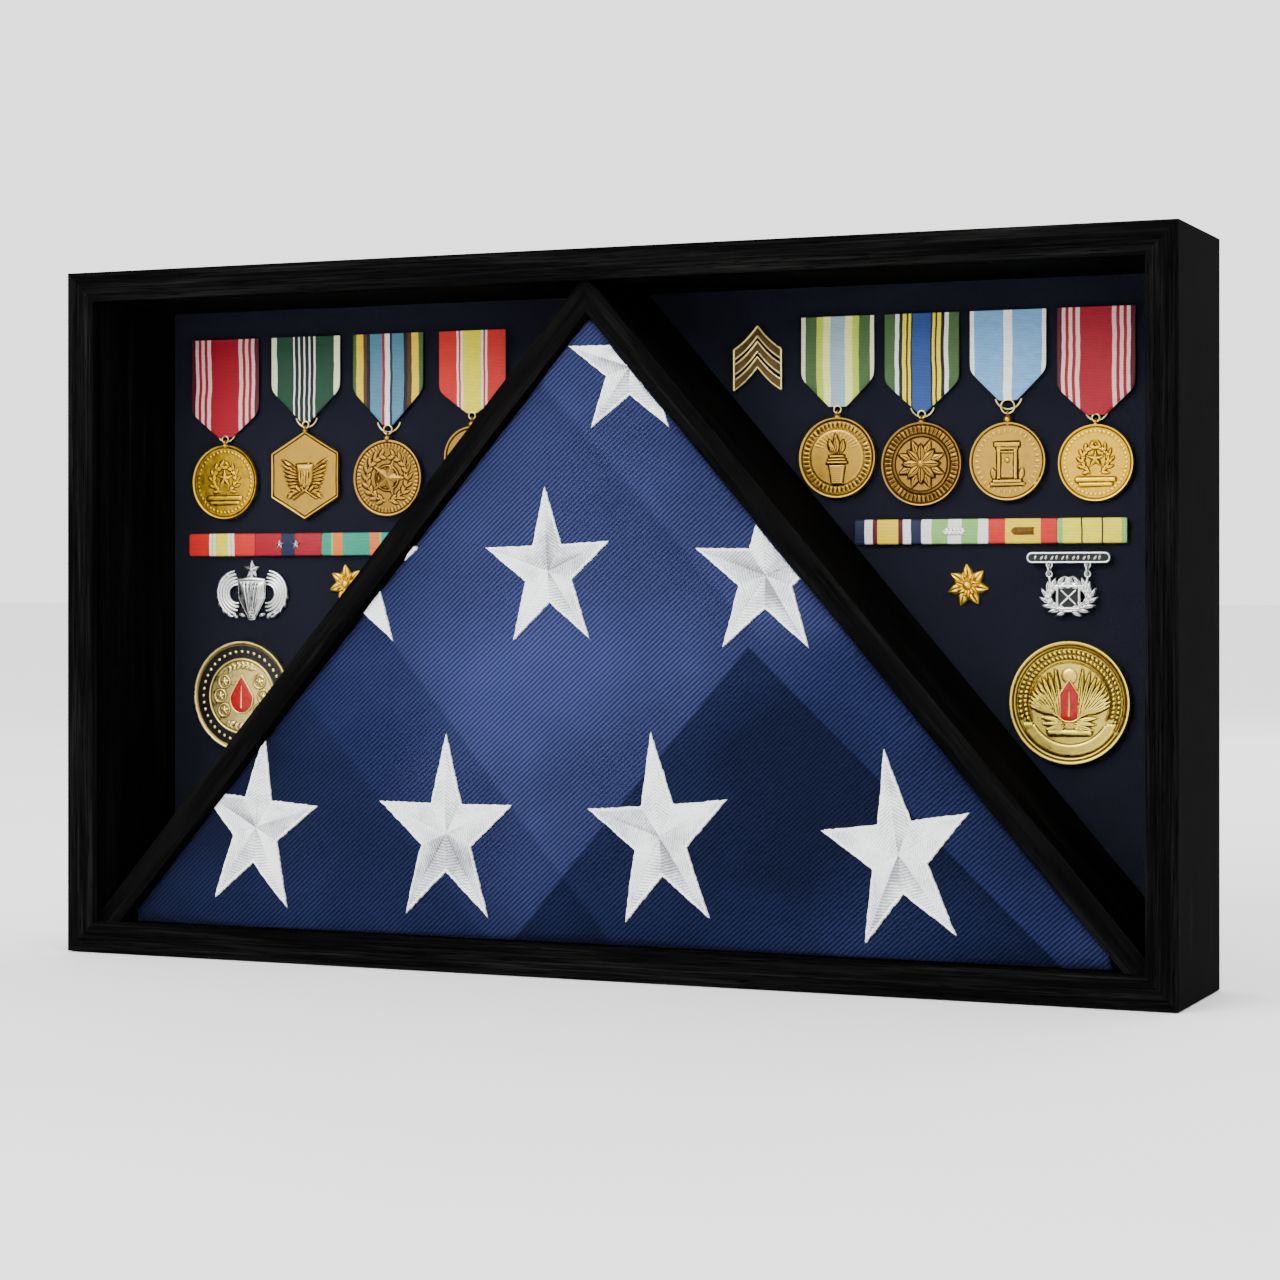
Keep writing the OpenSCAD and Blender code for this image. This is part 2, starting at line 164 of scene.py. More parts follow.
class Shader:
    """A node material around one Principled shader. Lengths in it are millimetres."""

    def __init__(self, title, **values):
        self.material = bpy.data.materials.new(title)
        self.material.use_nodes = True
        self.tree = self.material.node_tree
        self.surface = self.tree.nodes["Principled BSDF"]
        self.output = self.tree.nodes["Material Output"]
        for name, value in values.items():
            socket = name.replace("_", " ").title().replace("Ior", "IOR")
            self.surface.inputs[socket].default_value = value
        place = self.tree.nodes.new("ShaderNodeTexCoord")
        self.place = self.mapped(place.outputs["Object"], scale=(1 / MM,) * 3)
        self.uv = place.outputs["UV"]

    def put(self, socket, value):
        """Plugs a node's output into a socket, or sets the socket to a number or colour."""
        if isinstance(value, bpy.types.NodeSocket):
            self.tree.links.new(value, socket)
        elif isinstance(value, tuple) and len(value) == 3 and socket.type == "RGBA":
            socket.default_value = (*value, 1)
        else:
            socket.default_value = value

    def add(self, kind, inputs=(), **settings):
        """A new node: inputs is a list of (socket name or index, value)."""
        node = self.tree.nodes.new(kind)
        for name, value in settings.items():
            setattr(node, name, value)
        for socket, value in inputs:
            self.put(node.inputs[socket], value)
        return node

    def mapped(self, vector, scale=(1, 1, 1), turn=(0, 0, 0)):
        turn = tuple(math.radians(a) for a in turn)
        inputs = [("Vector", vector), ("Scale", scale), ("Rotation", turn)]
        return self.add("ShaderNodeMapping", inputs).outputs[0]

    def noise(self, scale, detail=3.0, stretch=(1, 1, 1), vector=None, distortion=0.0):
        place = self.mapped(vector or self.place, stretch)
        inputs = [("Vector", place), ("Scale", scale), ("Detail", detail), ("Distortion", distortion)]
        return self.add("ShaderNodeTexNoise", inputs).outputs[0]

    def waves(self, period, vector=None, direction="X", distortion=0.0, detail_scale=1.0):
        """Bands that repeat every period millimetres."""
        inputs = [("Vector", vector or self.place), ("Scale", math.pi / 10 / period),
                  ("Distortion", distortion), ("Detail Scale", detail_scale)]
        node = self.add("ShaderNodeTexWave", inputs, bands_direction=direction)
        return node.outputs["Fac"]

    def maths(self, operation, *values, clamp=False):
        node = self.add("ShaderNodeMath", list(enumerate(values)), operation=operation)
        node.use_clamp = clamp
        return node.outputs[0]

    def total(self, *terms):
        """The sum of several values, each given as (value, share)."""
        value, share = terms[0]
        result = self.maths("MULTIPLY", value, share)
        for value, share in terms[1:]:
            result = self.maths("MULTIPLY_ADD", value, share, result)
        return result

    def axes(self, vector=None):
        return self.add("ShaderNodeSeparateXYZ", [(0, vector or self.place)]).outputs

    def ramp(self, value, stops, interpolation="LINEAR"):
        """A colour for each value: stops is a list of (position, colour)."""
        node = self.add("ShaderNodeValToRGB", [(0, value)])
        node.color_ramp.interpolation = interpolation
        points = node.color_ramp.elements
        while len(points) < len(stops):
            points.new(0.5)
        for point, (position, colour) in zip(points, stops):
            point.position = position
            point.color = (*colour, 1)
        return node.outputs[0]

    def remap(self, value, low, high, new_low=0.0, new_high=1.0):
        inputs = [(0, value), (1, low), (2, high), (3, new_low), (4, new_high)]
        return self.add("ShaderNodeMapRange", inputs, interpolation_type="SMOOTHSTEP").outputs[0]

    def blend(self, share, first, second, mode="MIX"):
        node = self.add("ShaderNodeMix", data_type="RGBA", blend_type=mode)
        for index, value in ((0, share), (6, first), (7, second)):
            self.put(node.inputs[index], value)
        return node.outputs[2]

    def bump(self, height, depth, strength=1.0, under=None):
        """Relief from a 0 to 1 height that is depth millimetres deep."""
        inputs = [("Height", height), ("Distance", depth * MM), ("Strength", strength)]
        if under is not None:
            inputs.append(("Normal", under))
        return self.add("ShaderNodeBump", inputs).outputs[0]

    def finish(self, colour=None, roughness=None, normal=None):
        for socket, value in (("Base Color", colour), ("Roughness", roughness), ("Normal", normal)):
            if value is not None:
                self.put(self.surface.inputs[socket], value)
        return self.material


def floor_paper():
    s = Shader("floor_paper", roughness=0.9)
    mottle = s.noise(0.004, 4)
    return s.finish(s.ramp(mottle, [(0.3, (0.83, 0.83, 0.83)), (0.7, (0.86, 0.86, 0.86))]))


def black_wood(name, grain_deg):
    """Near-black stained wood. grain_deg turns the grain from X towards Z."""
    s = Shader(name, specular_ior_level=0.002)
    along = s.mapped(s.place, turn=(0, grain_deg, 0))
    rings = s.noise(0.16, 5, (0.035, 0.55, 1), along, 1.2)
    streaks = s.noise(1.1, 6, (0.018, 0.8, 1), along)
    pores = s.remap(s.noise(2.6, 3, (0.03, 1, 1), along), 0.56, 0.7)
    figure = s.total((rings, 0.55), (streaks, 0.55))
    stain = s.ramp(figure, [
        (0.36, (0.0009, 0.0009, 0.0009)), (0.52, (0.0020, 0.0020, 0.0020)),
        (0.62, (0.0042, 0.0041, 0.0040)), (0.74, (0.0095, 0.0091, 0.0087))])
    colour = s.blend(pores, stain, (0.0004, 0.0004, 0.0004))
    roughness = s.remap(figure, 0.35, 0.75, 0.55, 0.75)
    relief = s.maths("MULTIPLY_ADD", pores, -0.7, figure)
    return s.finish(colour, roughness, s.bump(relief, 0.05, 0.7))


def clear_glass():
    """Thin clear glass: it shows what is behind it and mirrors a little more at a slant."""
    s = Shader("clear_glass")
    tree = s.tree
    facing = s.add("ShaderNodeLayerWeight", [("Blend", 0.5)]).outputs["Facing"]
    slant = s.maths("POWER", facing, 5.0)
    # Below 0.4% the mirror is left out: so small a share only shows as stray bright specks.
    mirror_share = s.maths("MULTIPLY_ADD", slant, 0.25, -0.004, clamp=True)
    smudges = s.remap(s.noise(0.03, 5), 0.45, 0.75, 0.015, 0.07)
    clear = s.add("ShaderNodeBsdfTransparent", [(0, (0.985, 0.993, 0.990))])
    mirror = s.add("ShaderNodeBsdfGlossy", [("Color", (1.0, 1.0, 1.0)), ("Roughness", smudges)])
    both = s.add("ShaderNodeMixShader", [
        (0, mirror_share), (1, clear.outputs[0]), (2, mirror.outputs[0])])
    tree.nodes.remove(s.surface)
    tree.links.new(both.outputs[0], s.output.inputs["Surface"])
    return s.material


def navy_felt():
    s = Shader("navy_felt", roughness=0.95, sheen_weight=0.05, sheen_roughness=0.5,
               specular_ior_level=0.15)
    fibres = s.noise(2.2, 5, distortion=1.5)
    patches = s.noise(0.03, 3)
    tone = s.total((patches, 0.25), (fibres, 0.75))
    colour = s.ramp(tone, [(0.30, (0.0022, 0.0024, 0.0060)), (0.55, (0.0045, 0.0050, 0.0120)),
                           (0.75, (0.0090, 0.0100, 0.0210))])
    return s.finish(colour, None, s.bump(fibres, 0.35, 0.7))


# Edges of the flag's folds: (point, point, rise in millimetres of the cloth on the left-hand side
# when walking from the first point to the second).
CENTRE_LEFT = ((-106, 159.5), (6, 23))
OUTER_LEFT = ((-160, 137), (-109, 78))
DARK_RIGHT = ((82.8, 159.5), (-8, 54))
BAND_RIGHT = ((82.8, 159.5), (205, 43.5))
UPPER_RIGHT = ((8.8, 250), (82.8, 170))
LOW_RIGHT = ((-8, 54), (30, 15))


def side_of(line, x, z):
    """How far points lie to the left of a line, in millimetres."""
    (ax, az), (bx, bz) = line
    length = math.hypot(bx - ax, bz - az)
    return ((bx - ax) * (z - az) - (bz - az) * (x - ax)) / length


def flag_cloth():
    """Blue twill. Each layer of the fold that shows has its own depth of colour, partly from the layers
    under it and partly painted light and shade. Over this lie a painted pool of light in the middle,
    painted shade at the far left and along the right end, and painted light along the bottom.
    """
    s = Shader("flag_cloth", roughness=0.7, sheen_weight=0.02, specular_ior_level=0.03)
    x, _, z = s.axes()

    def side(line, soft=0.9):
        """1 to the left of a fold line and 0 to its right."""
        (ax, az), (bx, bz) = line
        length = math.hypot(bx - ax, bz - az)
        across = s.maths("MULTIPLY", z, (bx - ax) / length)
        across = s.maths("MULTIPLY_ADD", x, -(bz - az) / length, across)
        offset = ((bx - ax) * az - (bz - az) * ax) / length
        return s.remap(s.maths("SUBTRACT", across, offset), -soft, soft)

    def both(first, second):
        return s.maths("MULTIPLY", first, second)

    def other(value):
        return s.maths("SUBTRACT", 1.0, value)

    # Each fold zone's tone mixes the real tone of the layers under it with painted light and shade
    # where the light falls on the fold.
    dark_triangle = both(side(DARK_RIGHT), other(side(BAND_RIGHT)))
    band = both(side(BAND_RIGHT), s.remap(z, 150.0, 175.0, 1.0, 0.0))
    upper_right = both(side(UPPER_RIGHT, 3), s.remap(z, 150.0, 175.0))
    low_left = other(side(CENTRE_LEFT, 2.0))
    far_left = other(side(OUTER_LEFT, 2.5))
    # Painted shade: the cloth darkens towards its far left corner.
    corner = s.remap(x, -245.0, -150.0, 1.0, 0.0)
    clouds = s.noise(0.012, 4, (1, 0.2, 1.2))
    # Painted pool of light: the flag's middle is lighter, fading towards its ends.
    painted_light_x = s.maths("ABSOLUTE", s.maths("ADD", x, 30.0))
    painted_light_z = s.maths("ABSOLUTE", s.maths("SUBTRACT", z, 150.0))
    painted_light_pool = s.remap(s.maths("MULTIPLY_ADD", painted_light_z, 0.9, painted_light_x), 0.0, 190.0, 0.34, 0.04)
    tone = s.maths("ADD", s.maths("MULTIPLY", clouds, 0.45), painted_light_pool)
    layer_tone_and_shade = ((dark_triangle, -0.27), (band, -0.03), (upper_right, 0.12), (low_left, -0.11),
               (far_left, -0.07), (corner, -0.24))
    for zone, change in layer_tone_and_shade:
        tone = s.maths("MULTIPLY_ADD", zone, change, tone)
    # Painted light along the bottom of the flag, and painted shade along its right end.
    painted_low_light = s.remap(z, 15.0, 75.0, 0.14, 0.0)
    painted_right_shade = s.remap(x, 150.0, 250.0, 0.0, -0.14)
    tone = s.maths("ADD", s.maths("ADD", tone, painted_right_shade), painted_low_light, clamp=True)
    colour = s.ramp(tone, [
        (0.00, (0.0028, 0.0042, 0.0170)), (0.22, (0.0072, 0.0105, 0.0400)),
        (0.45, (0.0180, 0.0225, 0.0720)), (0.70, (0.0350, 0.0425, 0.1320)),
        (1.00, (0.0640, 0.0820, 0.2250))])
    twill_place = s.mapped(s.place, turn=(0, 42, 0))
    twill = s.waves(1.85, twill_place, "Z", 0.3, 0.3)
    threads = s.noise(1.5, 2, (0.5, 1, 1), twill_place)
    weave = s.total((twill, 0.78), (threads, 0.18))
    # Painted shade and highlight of the twill's ridges, mixed with the threads' own tone.
    shade = s.ramp(weave, [(0.12, (0.40, 0.42, 0.48)), (0.88, (1.54, 1.50, 1.44))])
    colour = s.blend(1.0, colour, shade, "MULTIPLY")
    creases = s.noise(0.02, 3, (1, 0.3, 1), distortion=0.6)
    normal = s.bump(weave, 0.06, 0.4, s.bump(creases, 2.0, 0.3))
    return s.finish(colour, None, normal)


def star_thread():
    """White embroidery: satin stitches run across each arm, along U of the map. Its colour carries
    painted light and shade: each half-arm has its own painted light or shade, the middle is darker, the
    stitches are painted shade lines and the border is a painted highlight.
    """
    s = Shader("star_thread", roughness=0.45, sheen_weight=0.15, sheen_roughness=0.35)
    facet = s.add("ShaderNodeAttribute", attribute_name="facet").outputs["Fac"]
    reach = s.add("ShaderNodeAttribute", attribute_name="reach").outputs["Fac"]
    across, _, _ = s.axes(s.uv)
    place = s.maths("MULTIPLY_ADD", s.noise(0.5, 3), 1.4, across)
    stitch = s.maths("SINE", s.maths("MULTIPLY", place, 2 * math.pi / 1.7))
    stitch = s.maths("MULTIPLY_ADD", stitch, 0.5, 0.5)
    fuzz = s.noise(1.0, 4)
    # Painted shade and highlight: facet lights or shades each half-arm, the middle darkens, the border
    # is a painted highlight and the stitch lines are painted shade.
    centre = s.remap(reach, 0.0, 0.75, 1.0, 0.0)
    border = s.remap(reach, 0.86, 0.93)
    patches = s.noise(0.07, 3)
    shaded_middle = s.maths("MULTIPLY", facet, centre)
    tone = s.total((stitch, 0.22), (fuzz, 0.32), (patches, 0.70), (shaded_middle, 0.34),
                   (facet, 0.13), (border, 0.30))
    colour = s.ramp(tone, [(0.28, (0.20, 0.20, 0.23)), (0.52, (0.54, 0.54, 0.57)),
                           (0.74, (0.96, 0.96, 0.96))])
    return s.finish(colour, None, s.bump(stitch, 0.30, 0.9, s.bump(fuzz, 0.3, 0.5)))


def striped_ribbon(name, centre, width, stripes, mottle=0.0):
    """A ribbed ribbon. stripes is a list of (share of the width where it ends, colour)."""
    s = Shader(name, roughness=0.5, sheen_weight=0.05, specular_ior_level=0.2)
    x, _, z = s.axes()
    sway = s.maths("MULTIPLY", s.maths("SUBTRACT", s.noise(0.06, 2, (0.3, 0.3, 1)), 0.5), 1.8)
    share = s.maths("DIVIDE", s.maths("SUBTRACT", s.maths("ADD", x, sway), centre), width)
    stops, start = [], 0.0
    for end, colour in stripes:
        stops.append((start, colour))
        start = end
    dyed = s.ramp(s.maths("ADD", share, 0.5), stops, "CONSTANT")
    ribs = s.waves(0.72, None, "Z", 0.25, 0.6)
    threads = s.noise(2.4, 3, (1.6, 1, 0.7))
    silk = s.noise(0.22, 4, (0.7, 1, 1.6), distortion=1.0)
    weave = s.total((ribs, 0.4), (threads, 0.45), (silk, 0.35 + mottle))
    shade = s.ramp(weave, [(0.30, (0.62, 0.62, 0.62)), (0.95 + mottle * 0.5, (1.18, 1.18, 1.18))])
    colour = s.blend(1.0, dyed, shade, "MULTIPLY")
    return s.finish(colour, None, s.bump(weave, 0.14, 0.7))


def struck_metal(name, light, dark, roughness, patina=1.0, grit=0.6):
    """Struck metal: bright where it is rubbed, darker in its hollows."""
    s = Shader(name, metallic=1.0)
    cavity = s.add("ShaderNodeNewGeometry").outputs["Pointiness"]
    tarnish = s.noise(0.35, 5, distortion=0.6)
    grain = s.noise(3.0, 3)
    wear = s.remap(cavity, 0.5 - 0.028 * patina, 0.5 + 0.022)
    tone = s.total((wear, 0.80), (tarnish, 0.22))
    middle = tuple((a + b) / 2 for a, b in zip(light, dark))
    colour = s.ramp(tone, [(0.20, dark), (0.50, middle), (0.90, light)])
    rough = s.remap(tarnish, 0.3, 0.7, roughness * 0.8, roughness * 1.35)
    return s.finish(colour, rough, s.bump(grain, 0.05, grit))


def enamel(name, deep, bright):
    """Glossy fired enamel over struck metal."""
    s = Shader(name, coat_weight=0.12, coat_roughness=0.1, roughness=0.4, specular_ior_level=0.2)
    cloud = s.noise(0.4, 4)
    return s.finish(s.ramp(cloud, [(0.3, deep), (0.7, bright)]), None, s.bump(cloud, 0.1, 0.3))


def zinc_steel():
    s = Shader("zinc_steel", metallic=1.0)
    spangle = s.noise(0.9, 5, distortion=0.4)
    brushed = s.noise(3.0, 4, (0.15, 1, 1))
    colour = s.ramp(spangle, [(0.3, (0.16, 0.16, 0.165)), (0.7, (0.34, 0.34, 0.335))])
    return s.finish(colour, s.remap(brushed, 0.3, 0.7, 0.26, 0.48), s.bump(brushed, 0.03, 0.5))


def panel_board():
    """Brown hardboard: fine flecks on a smooth face."""
    s = Shader("panel_board", specular_ior_level=0.35)
    flecks = s.noise(1.6, 6, distortion=0.8)
    clouds = s.noise(0.02, 4)
    tone = s.total((flecks, 0.88), (clouds, 0.12))
    colour = s.ramp(tone, [(0.34, (0.030, 0.015, 0.007)), (0.50, (0.080, 0.044, 0.021)),
                           (0.66, (0.140, 0.086, 0.045))])
    return s.finish(colour, s.remap(flecks, 0.3, 0.7, 0.5, 0.75), s.bump(flecks, 0.12, 0.5))


def black_rubber():
    s = Shader("black_rubber", specular_ior_level=0.4)
    skin = s.noise(2.5, 4)
    colour = s.ramp(skin, [(0.35, (0.010, 0.010, 0.011)), (0.7, (0.024, 0.024, 0.025))])
    return s.finish(colour, s.remap(skin, 0.3, 0.7, 0.6, 0.85), s.bump(skin, 0.08, 0.6))


GOLD = struck_metal("bright_gold", (0.74, 0.435, 0.026), (0.10, 0.040, 0.002), 0.36)
ANTIQUE_GOLD = struck_metal("antique_gold", (0.50, 0.285, 0.042), (0.036, 0.016, 0.002), 0.38)
BRONZE = struck_metal("bronze", (0.34, 0.180, 0.034), (0.018, 0.008, 0.0015), 0.38)
PALE_GOLD = struck_metal("pale_gold", (0.90, 0.72, 0.26), (0.24, 0.14, 0.025), 0.30)
COIN_GOLD = struck_metal("coin_gold", (0.80, 0.59, 0.095), (0.060, 0.030, 0.003), 0.32)
SILVER = struck_metal("old_silver", (0.80, 0.80, 0.79), (0.020, 0.020, 0.021), 0.30, 0.6)
DARK_BRONZE = struck_metal("dark_bronze", (0.16, 0.075, 0.018), (0.012, 0.006, 0.002), 0.45)
DARK_METAL = struck_metal("dark_field", (0.075, 0.048, 0.020), (0.008, 0.006, 0.004), 0.5)
RED_ENAMEL = enamel("red_enamel", (0.26, 0.0008, 0.002), (0.46, 0.002, 0.005))
BLACK_ENAMEL = enamel("black_enamel", (0.002, 0.002, 0.0025), (0.006, 0.0055, 0.005))
STEEL = zinc_steel()

# ---------------------------------------------------------------- mesh building, in millimetres


class Parts:
    """Collects points and faces for one piece."""

    def __init__(self):
        self.points = []
        self.faces = []
        self.kinds = []

    def add(self, points, faces, kind=0):
        start = len(self.points)
        self.points.extend(tuple(float(c) for c in p) for p in points)
        self.faces.extend(tuple(start + i for i in face) for face in faces)
        self.kinds.extend([kind] * len(faces))

    def grid(self, points, kind=0, wrap=False, split=False):
        """Faces between the rows of points, an array of shape (rows, columns, 3).

        split makes triangles that all lean the same way.
        """
        rows, columns = points.shape[:2]
        last = columns if wrap else columns - 1
        faces = []
        for i in range(rows - 1):
            for j in range(last):
                k = (j + 1) % columns
                a, b = i * columns + j, i * columns + k
                c, d = b + columns, a + columns
                faces += [(a, b, c), (a, c, d)] if split else [(a, b, c, d)]
        self.add(points.reshape(-1, 3), faces, kind)

    def cloth(self, front, back):
        """A thin sheet between two grids of points, closed round its edge."""
        rows, columns = front.shape[:2]
        border = ([(0, j) for j in range(columns)] + [(i, columns - 1) for i in range(1, rows)] +
                  [(rows - 1, j) for j in range(columns - 2, -1, -1)] +
                  [(i, 0) for i in range(rows - 2, 0, -1)])
        i, j = np.array(border).T
        self.grid(front)
        self.grid(back[::-1])
        self.grid(np.array([front[i, j], back[i, j]]), wrap=True)

    def cap(self, ring, kind=0, flip=False):
        """A fan of faces from the middle of a closed ring of points."""
        ring = np.asarray(ring, float)
        count = len(ring)
        faces = [(j, (j + 1) % count, count) for j in range(count)]
        if flip:
            faces = [face[::-1] for face in faces]
        self.add(np.vstack([ring, ring.mean(0)]), faces, kind)


def add_piece(name, parts, materials, body, replaces=(), sharp_deg=40):
    """A mesh object that rides on a body and may stand for CAD nodes."""
    mesh = bpy.data.meshes.new(name)
    mesh.from_pydata((np.array(parts.points) * MM).tolist(), [], parts.faces)
    mesh.polygons.foreach_set("material_index", parts.kinds)
    work = bmesh.new()
    work.from_mesh(mesh)
    bmesh.ops.remove_doubles(work, verts=work.verts, dist=0.00001)
    bmesh.ops.recalc_face_normals(work, faces=work.faces)
    work.to_mesh(mesh)
    work.free()
    shade_smooth(mesh)
    mesh.set_sharp_from_angle(angle=math.radians(sharp_deg))
    for material in materials:
        mesh.materials.append(material)
    piece = link_new(name, mesh)
    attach(piece, body)
    if replaces:
        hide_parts(*replaces)
    return piece


def sweep(parts, path, radii, kind=0, closed=False, sides=8, flatten=1.0, base=None):
    """A tube along a path. flatten squeezes it along Y, and base cuts its back off flat."""
    path = np.asarray(path, float)
    radii = np.broadcast_to(np.asarray(radii, float), (len(path),))
    if closed:
        ahead = np.roll(path, -1, 0) - np.roll(path, 1, 0)
    else:
        ahead = np.gradient(path, axis=0)
    ahead /= np.linalg.norm(ahead, axis=1)[:, None]
    up = np.where(np.abs(ahead[:, 1:2]) > 0.9, np.array([[1.0, 0, 0]]), np.array([[0, 1.0, 0]]))
    right = np.cross(ahead, up)
    right /= np.linalg.norm(right, axis=1)[:, None]
    up = np.cross(right, ahead)
    turns = np.arange(sides) * 2 * math.pi / sides
    ring = (np.cos(turns)[None, :, None] * right[:, None] +
            np.sin(turns)[None, :, None] * up[:, None] * flatten)
    points = path[:, None] + radii[:, None, None] * ring
    if base is not None:
        points[..., 1] = np.minimum(points[..., 1], base)
    if closed:
        points = np.concatenate([points, points[:1]])
    parts.grid(points, kind, wrap=True)
    if not closed:
        parts.cap(points[0], kind)
        parts.cap(points[-1], kind, flip=True)


def circle_path(centre, radius, plane="xz", count=32, start=0.0, turn=360.0):
    """Points along an arc about a centre, in the XZ or YZ plane."""
    angles = np.radians(start + np.linspace(0, turn, count, endpoint=turn < 360))
    a, b = radius * np.cos(angles), radius * np.sin(angles)
    zero = np.zeros_like(a)
    offset = np.stack([a, zero, b] if plane == "xz" else [zero, a, b], 1)
    return np.asarray(centre, float) + offset


def lathe(parts, centre, profile, kind=0, axis="z", count=24):
    """A turned shape: profile is a list of (radius, distance along the axis)."""
    angles = np.arange(count) * 2 * math.pi / count
    rows = []
    for radius, along in profile:
        a, b = radius * np.cos(angles), radius * np.sin(angles)
        level = np.full(count, float(along))
        rows.append(np.stack([a, b, level] if axis == "z" else [a, level, b], 1))
    points = np.array(rows) + np.asarray(centre, float)
    parts.grid(points, kind, wrap=True)
    parts.cap(points[0], kind)
    parts.cap(points[-1], kind, flip=True)


def leaf(parts, root, degrees, length, width, back_y, rise, kind=0, curl=0.0):
    """A pointed leaf with a grooved midrib, lying in the XZ plane and raised towards the front."""
    along = np.linspace(0, 1, 9)
    across = np.linspace(-1, 1, 9)
    u, v = np.meshgrid(along, across, indexing="ij")
    half = width / 2 * np.sin(math.pi * np.clip(u, 0.02, 0.985) ** 0.85) ** 0.8
    bend = curl * length * u ** 2
    a = math.radians(degrees)
    x = root[0] + u * length * math.cos(a) - (v * half + bend) * math.sin(a)
    z = root[1] + u * length * math.sin(a) + (v * half + bend) * math.cos(a)
    crown = np.sqrt(np.clip(1 - v ** 2, 0, 1)) * np.sin(math.pi * np.clip(u, 0.04, 0.96)) ** 0.5
    groove = 0.35 * np.exp(-(v / 0.22) ** 2)
    y = back_y - rise * np.clip(crown - groove * crown, 0, 1)
    parts.grid(np.stack([x, y, z], -1), kind)
    flat = np.full_like(y, back_y)
    parts.grid(np.stack([x, flat, z], -1)[:, ::-1], kind)


class Relief:
    """Heights struck on a plate, over arrays of points x and z, with the distance to its edge."""

    def __init__(self, x, z, edge):
        self.x, self.z, self.edge = x, z, edge
        self.height = np.zeros_like(x)

    def raise_to(self, height):
        self.height = np.maximum(self.height, height)

    def ridge(self, distance, half_width, height):
        self.raise_to(height * np.sqrt(np.clip(1 - (distance / half_width) ** 2, 0, 1)))

    def rim(self, width, height):
        self.raise_to(height * np.clip((width - self.edge) / 0.5, 0, 1))

    def dot(self, x, z, radius, height):
        self.ridge(np.hypot(self.x - x, self.z - z), radius, height)

    def bar(self, a, b, half_width, height):
        along = np.array(b, float) - a
        share = ((self.x - a[0]) * along[0] + (self.z - a[1]) * along[1]) / (along @ along)
        share = np.clip(share, 0, 1)
        distance = np.hypot(self.x - a[0] - share * along[0], self.z - a[1] - share * along[1])
        self.ridge(distance, half_width, height)

    def box(self, low, high, height, soft=0.4):
        inside = np.minimum(np.minimum(self.x - low[0], high[0] - self.x),
                            np.minimum(self.z - low[1], high[1] - self.z))
        self.raise_to(height * np.clip(inside / soft + 0.5, 0, 1))

    def arc(self, radius, half_width, height, start=0.0, end=360.0, centre=(0, 0)):
        x, z = self.x - centre[0], self.z - centre[1]
        turn = (np.degrees(np.arctan2(z, x)) - start) % 360
        distance = np.where(turn <= end - start, np.abs(np.hypot(x, z) - radius), half_width)
        self.ridge(distance, half_width, height)

    def leaf(self, root, degrees, length, width, height):
        a = math.radians(degrees)
        u = ((self.x - root[0]) * math.cos(a) + (self.z - root[1]) * math.sin(a)) / length
        v = -(self.x - root[0]) * math.sin(a) + (self.z - root[1]) * math.cos(a)
        half = width / 2 * np.sin(math.pi * np.clip(u, 0, 1)) + 1e-6
        share = np.abs(v) / half
        crown = np.sqrt(np.clip(1 - share ** 2, 0, 1)) * (1 - 0.4 * np.exp(-(v / 0.18) ** 2))
        self.raise_to(np.where((u > 0) & (u < 1), height * crown, 0))

    def sprig(self, centre, radius, start, end, count, size, height):
        """A branch along an arc, with leaves on both sides of it."""
        self.arc(radius, 0.3, height * 0.7, min(start, end), max(start, end), centre)
        forward = 90 if end > start else -90
        for i in range(count):
            turn = start + (end - start) * (i + 0.3) / count
            root = spoke(radius, turn, centre)
            for lean in (-32, 32):
                self.leaf(root, turn + forward + lean, size, size * 0.42, height)

    def wreath(self, centre, radius, start, end, count, size, height):
        """A sprig up the right-hand side and its mirror image up the left-hand side."""
        self.sprig(centre, radius, start, end, count, size, height)
        self.sprig(centre, radius, 180 - start, 180 - end, count, size, height)

    def star(self, centre, radius, height, turn=90.0):
        """A faceted star."""
        x, z = self.x - centre[0], self.z - centre[1]
        reach = star_shape(radius, turn)(np.arctan2(z, x))
        self.raise_to(height * np.clip(1 - np.hypot(x, z) / reach, 0, 1) ** 0.8)

    def beads(self, radius, count, size, height, start=0.0, end=360.0):
        for i in range(count):
            x, z = spoke(radius, start + (end - start) * i / count)
            self.dot(x, z, size, height)

    def dashes(self, radius, count, length, half_width, height, start=0.0, end=360.0):
        """Short upright strokes round a circle, a plain border."""
        for i in range(count):
            turn = start + (end - start) * i / count
            self.bar(spoke(radius - length / 2, turn), spoke(radius + length / 2, turn),
                     half_width, height)


# Outlines of plates: each is a function that gives the reach from the centre at an angle.


def round_outline(radius):
    return lambda angle: np.full_like(angle, radius)


def star_shape(radius, turn=90.0, points=5, waist=0.42):
    step = 2 * math.pi / points
    tip = np.array([radius, 0.0])
    notch = radius * waist * np.array([math.cos(step / 2), math.sin(step / 2)])
    normal = np.array([-(notch - tip)[1], (notch - tip)[0]])

    def outline(angle):
        part = (angle - math.radians(turn)) % step
        part = np.minimum(part, step - part)
        return (normal @ tip) / (normal[0] * np.cos(part) + normal[1] * np.sin(part))

    return outline


def polygon_outline(radius, sides, turn=90.0):
    step = 2 * math.pi / sides

    def outline(angle):
        part = (angle - math.radians(turn)) % step
        return radius * math.cos(step / 2) / np.cos(part - step / 2)

    return outline


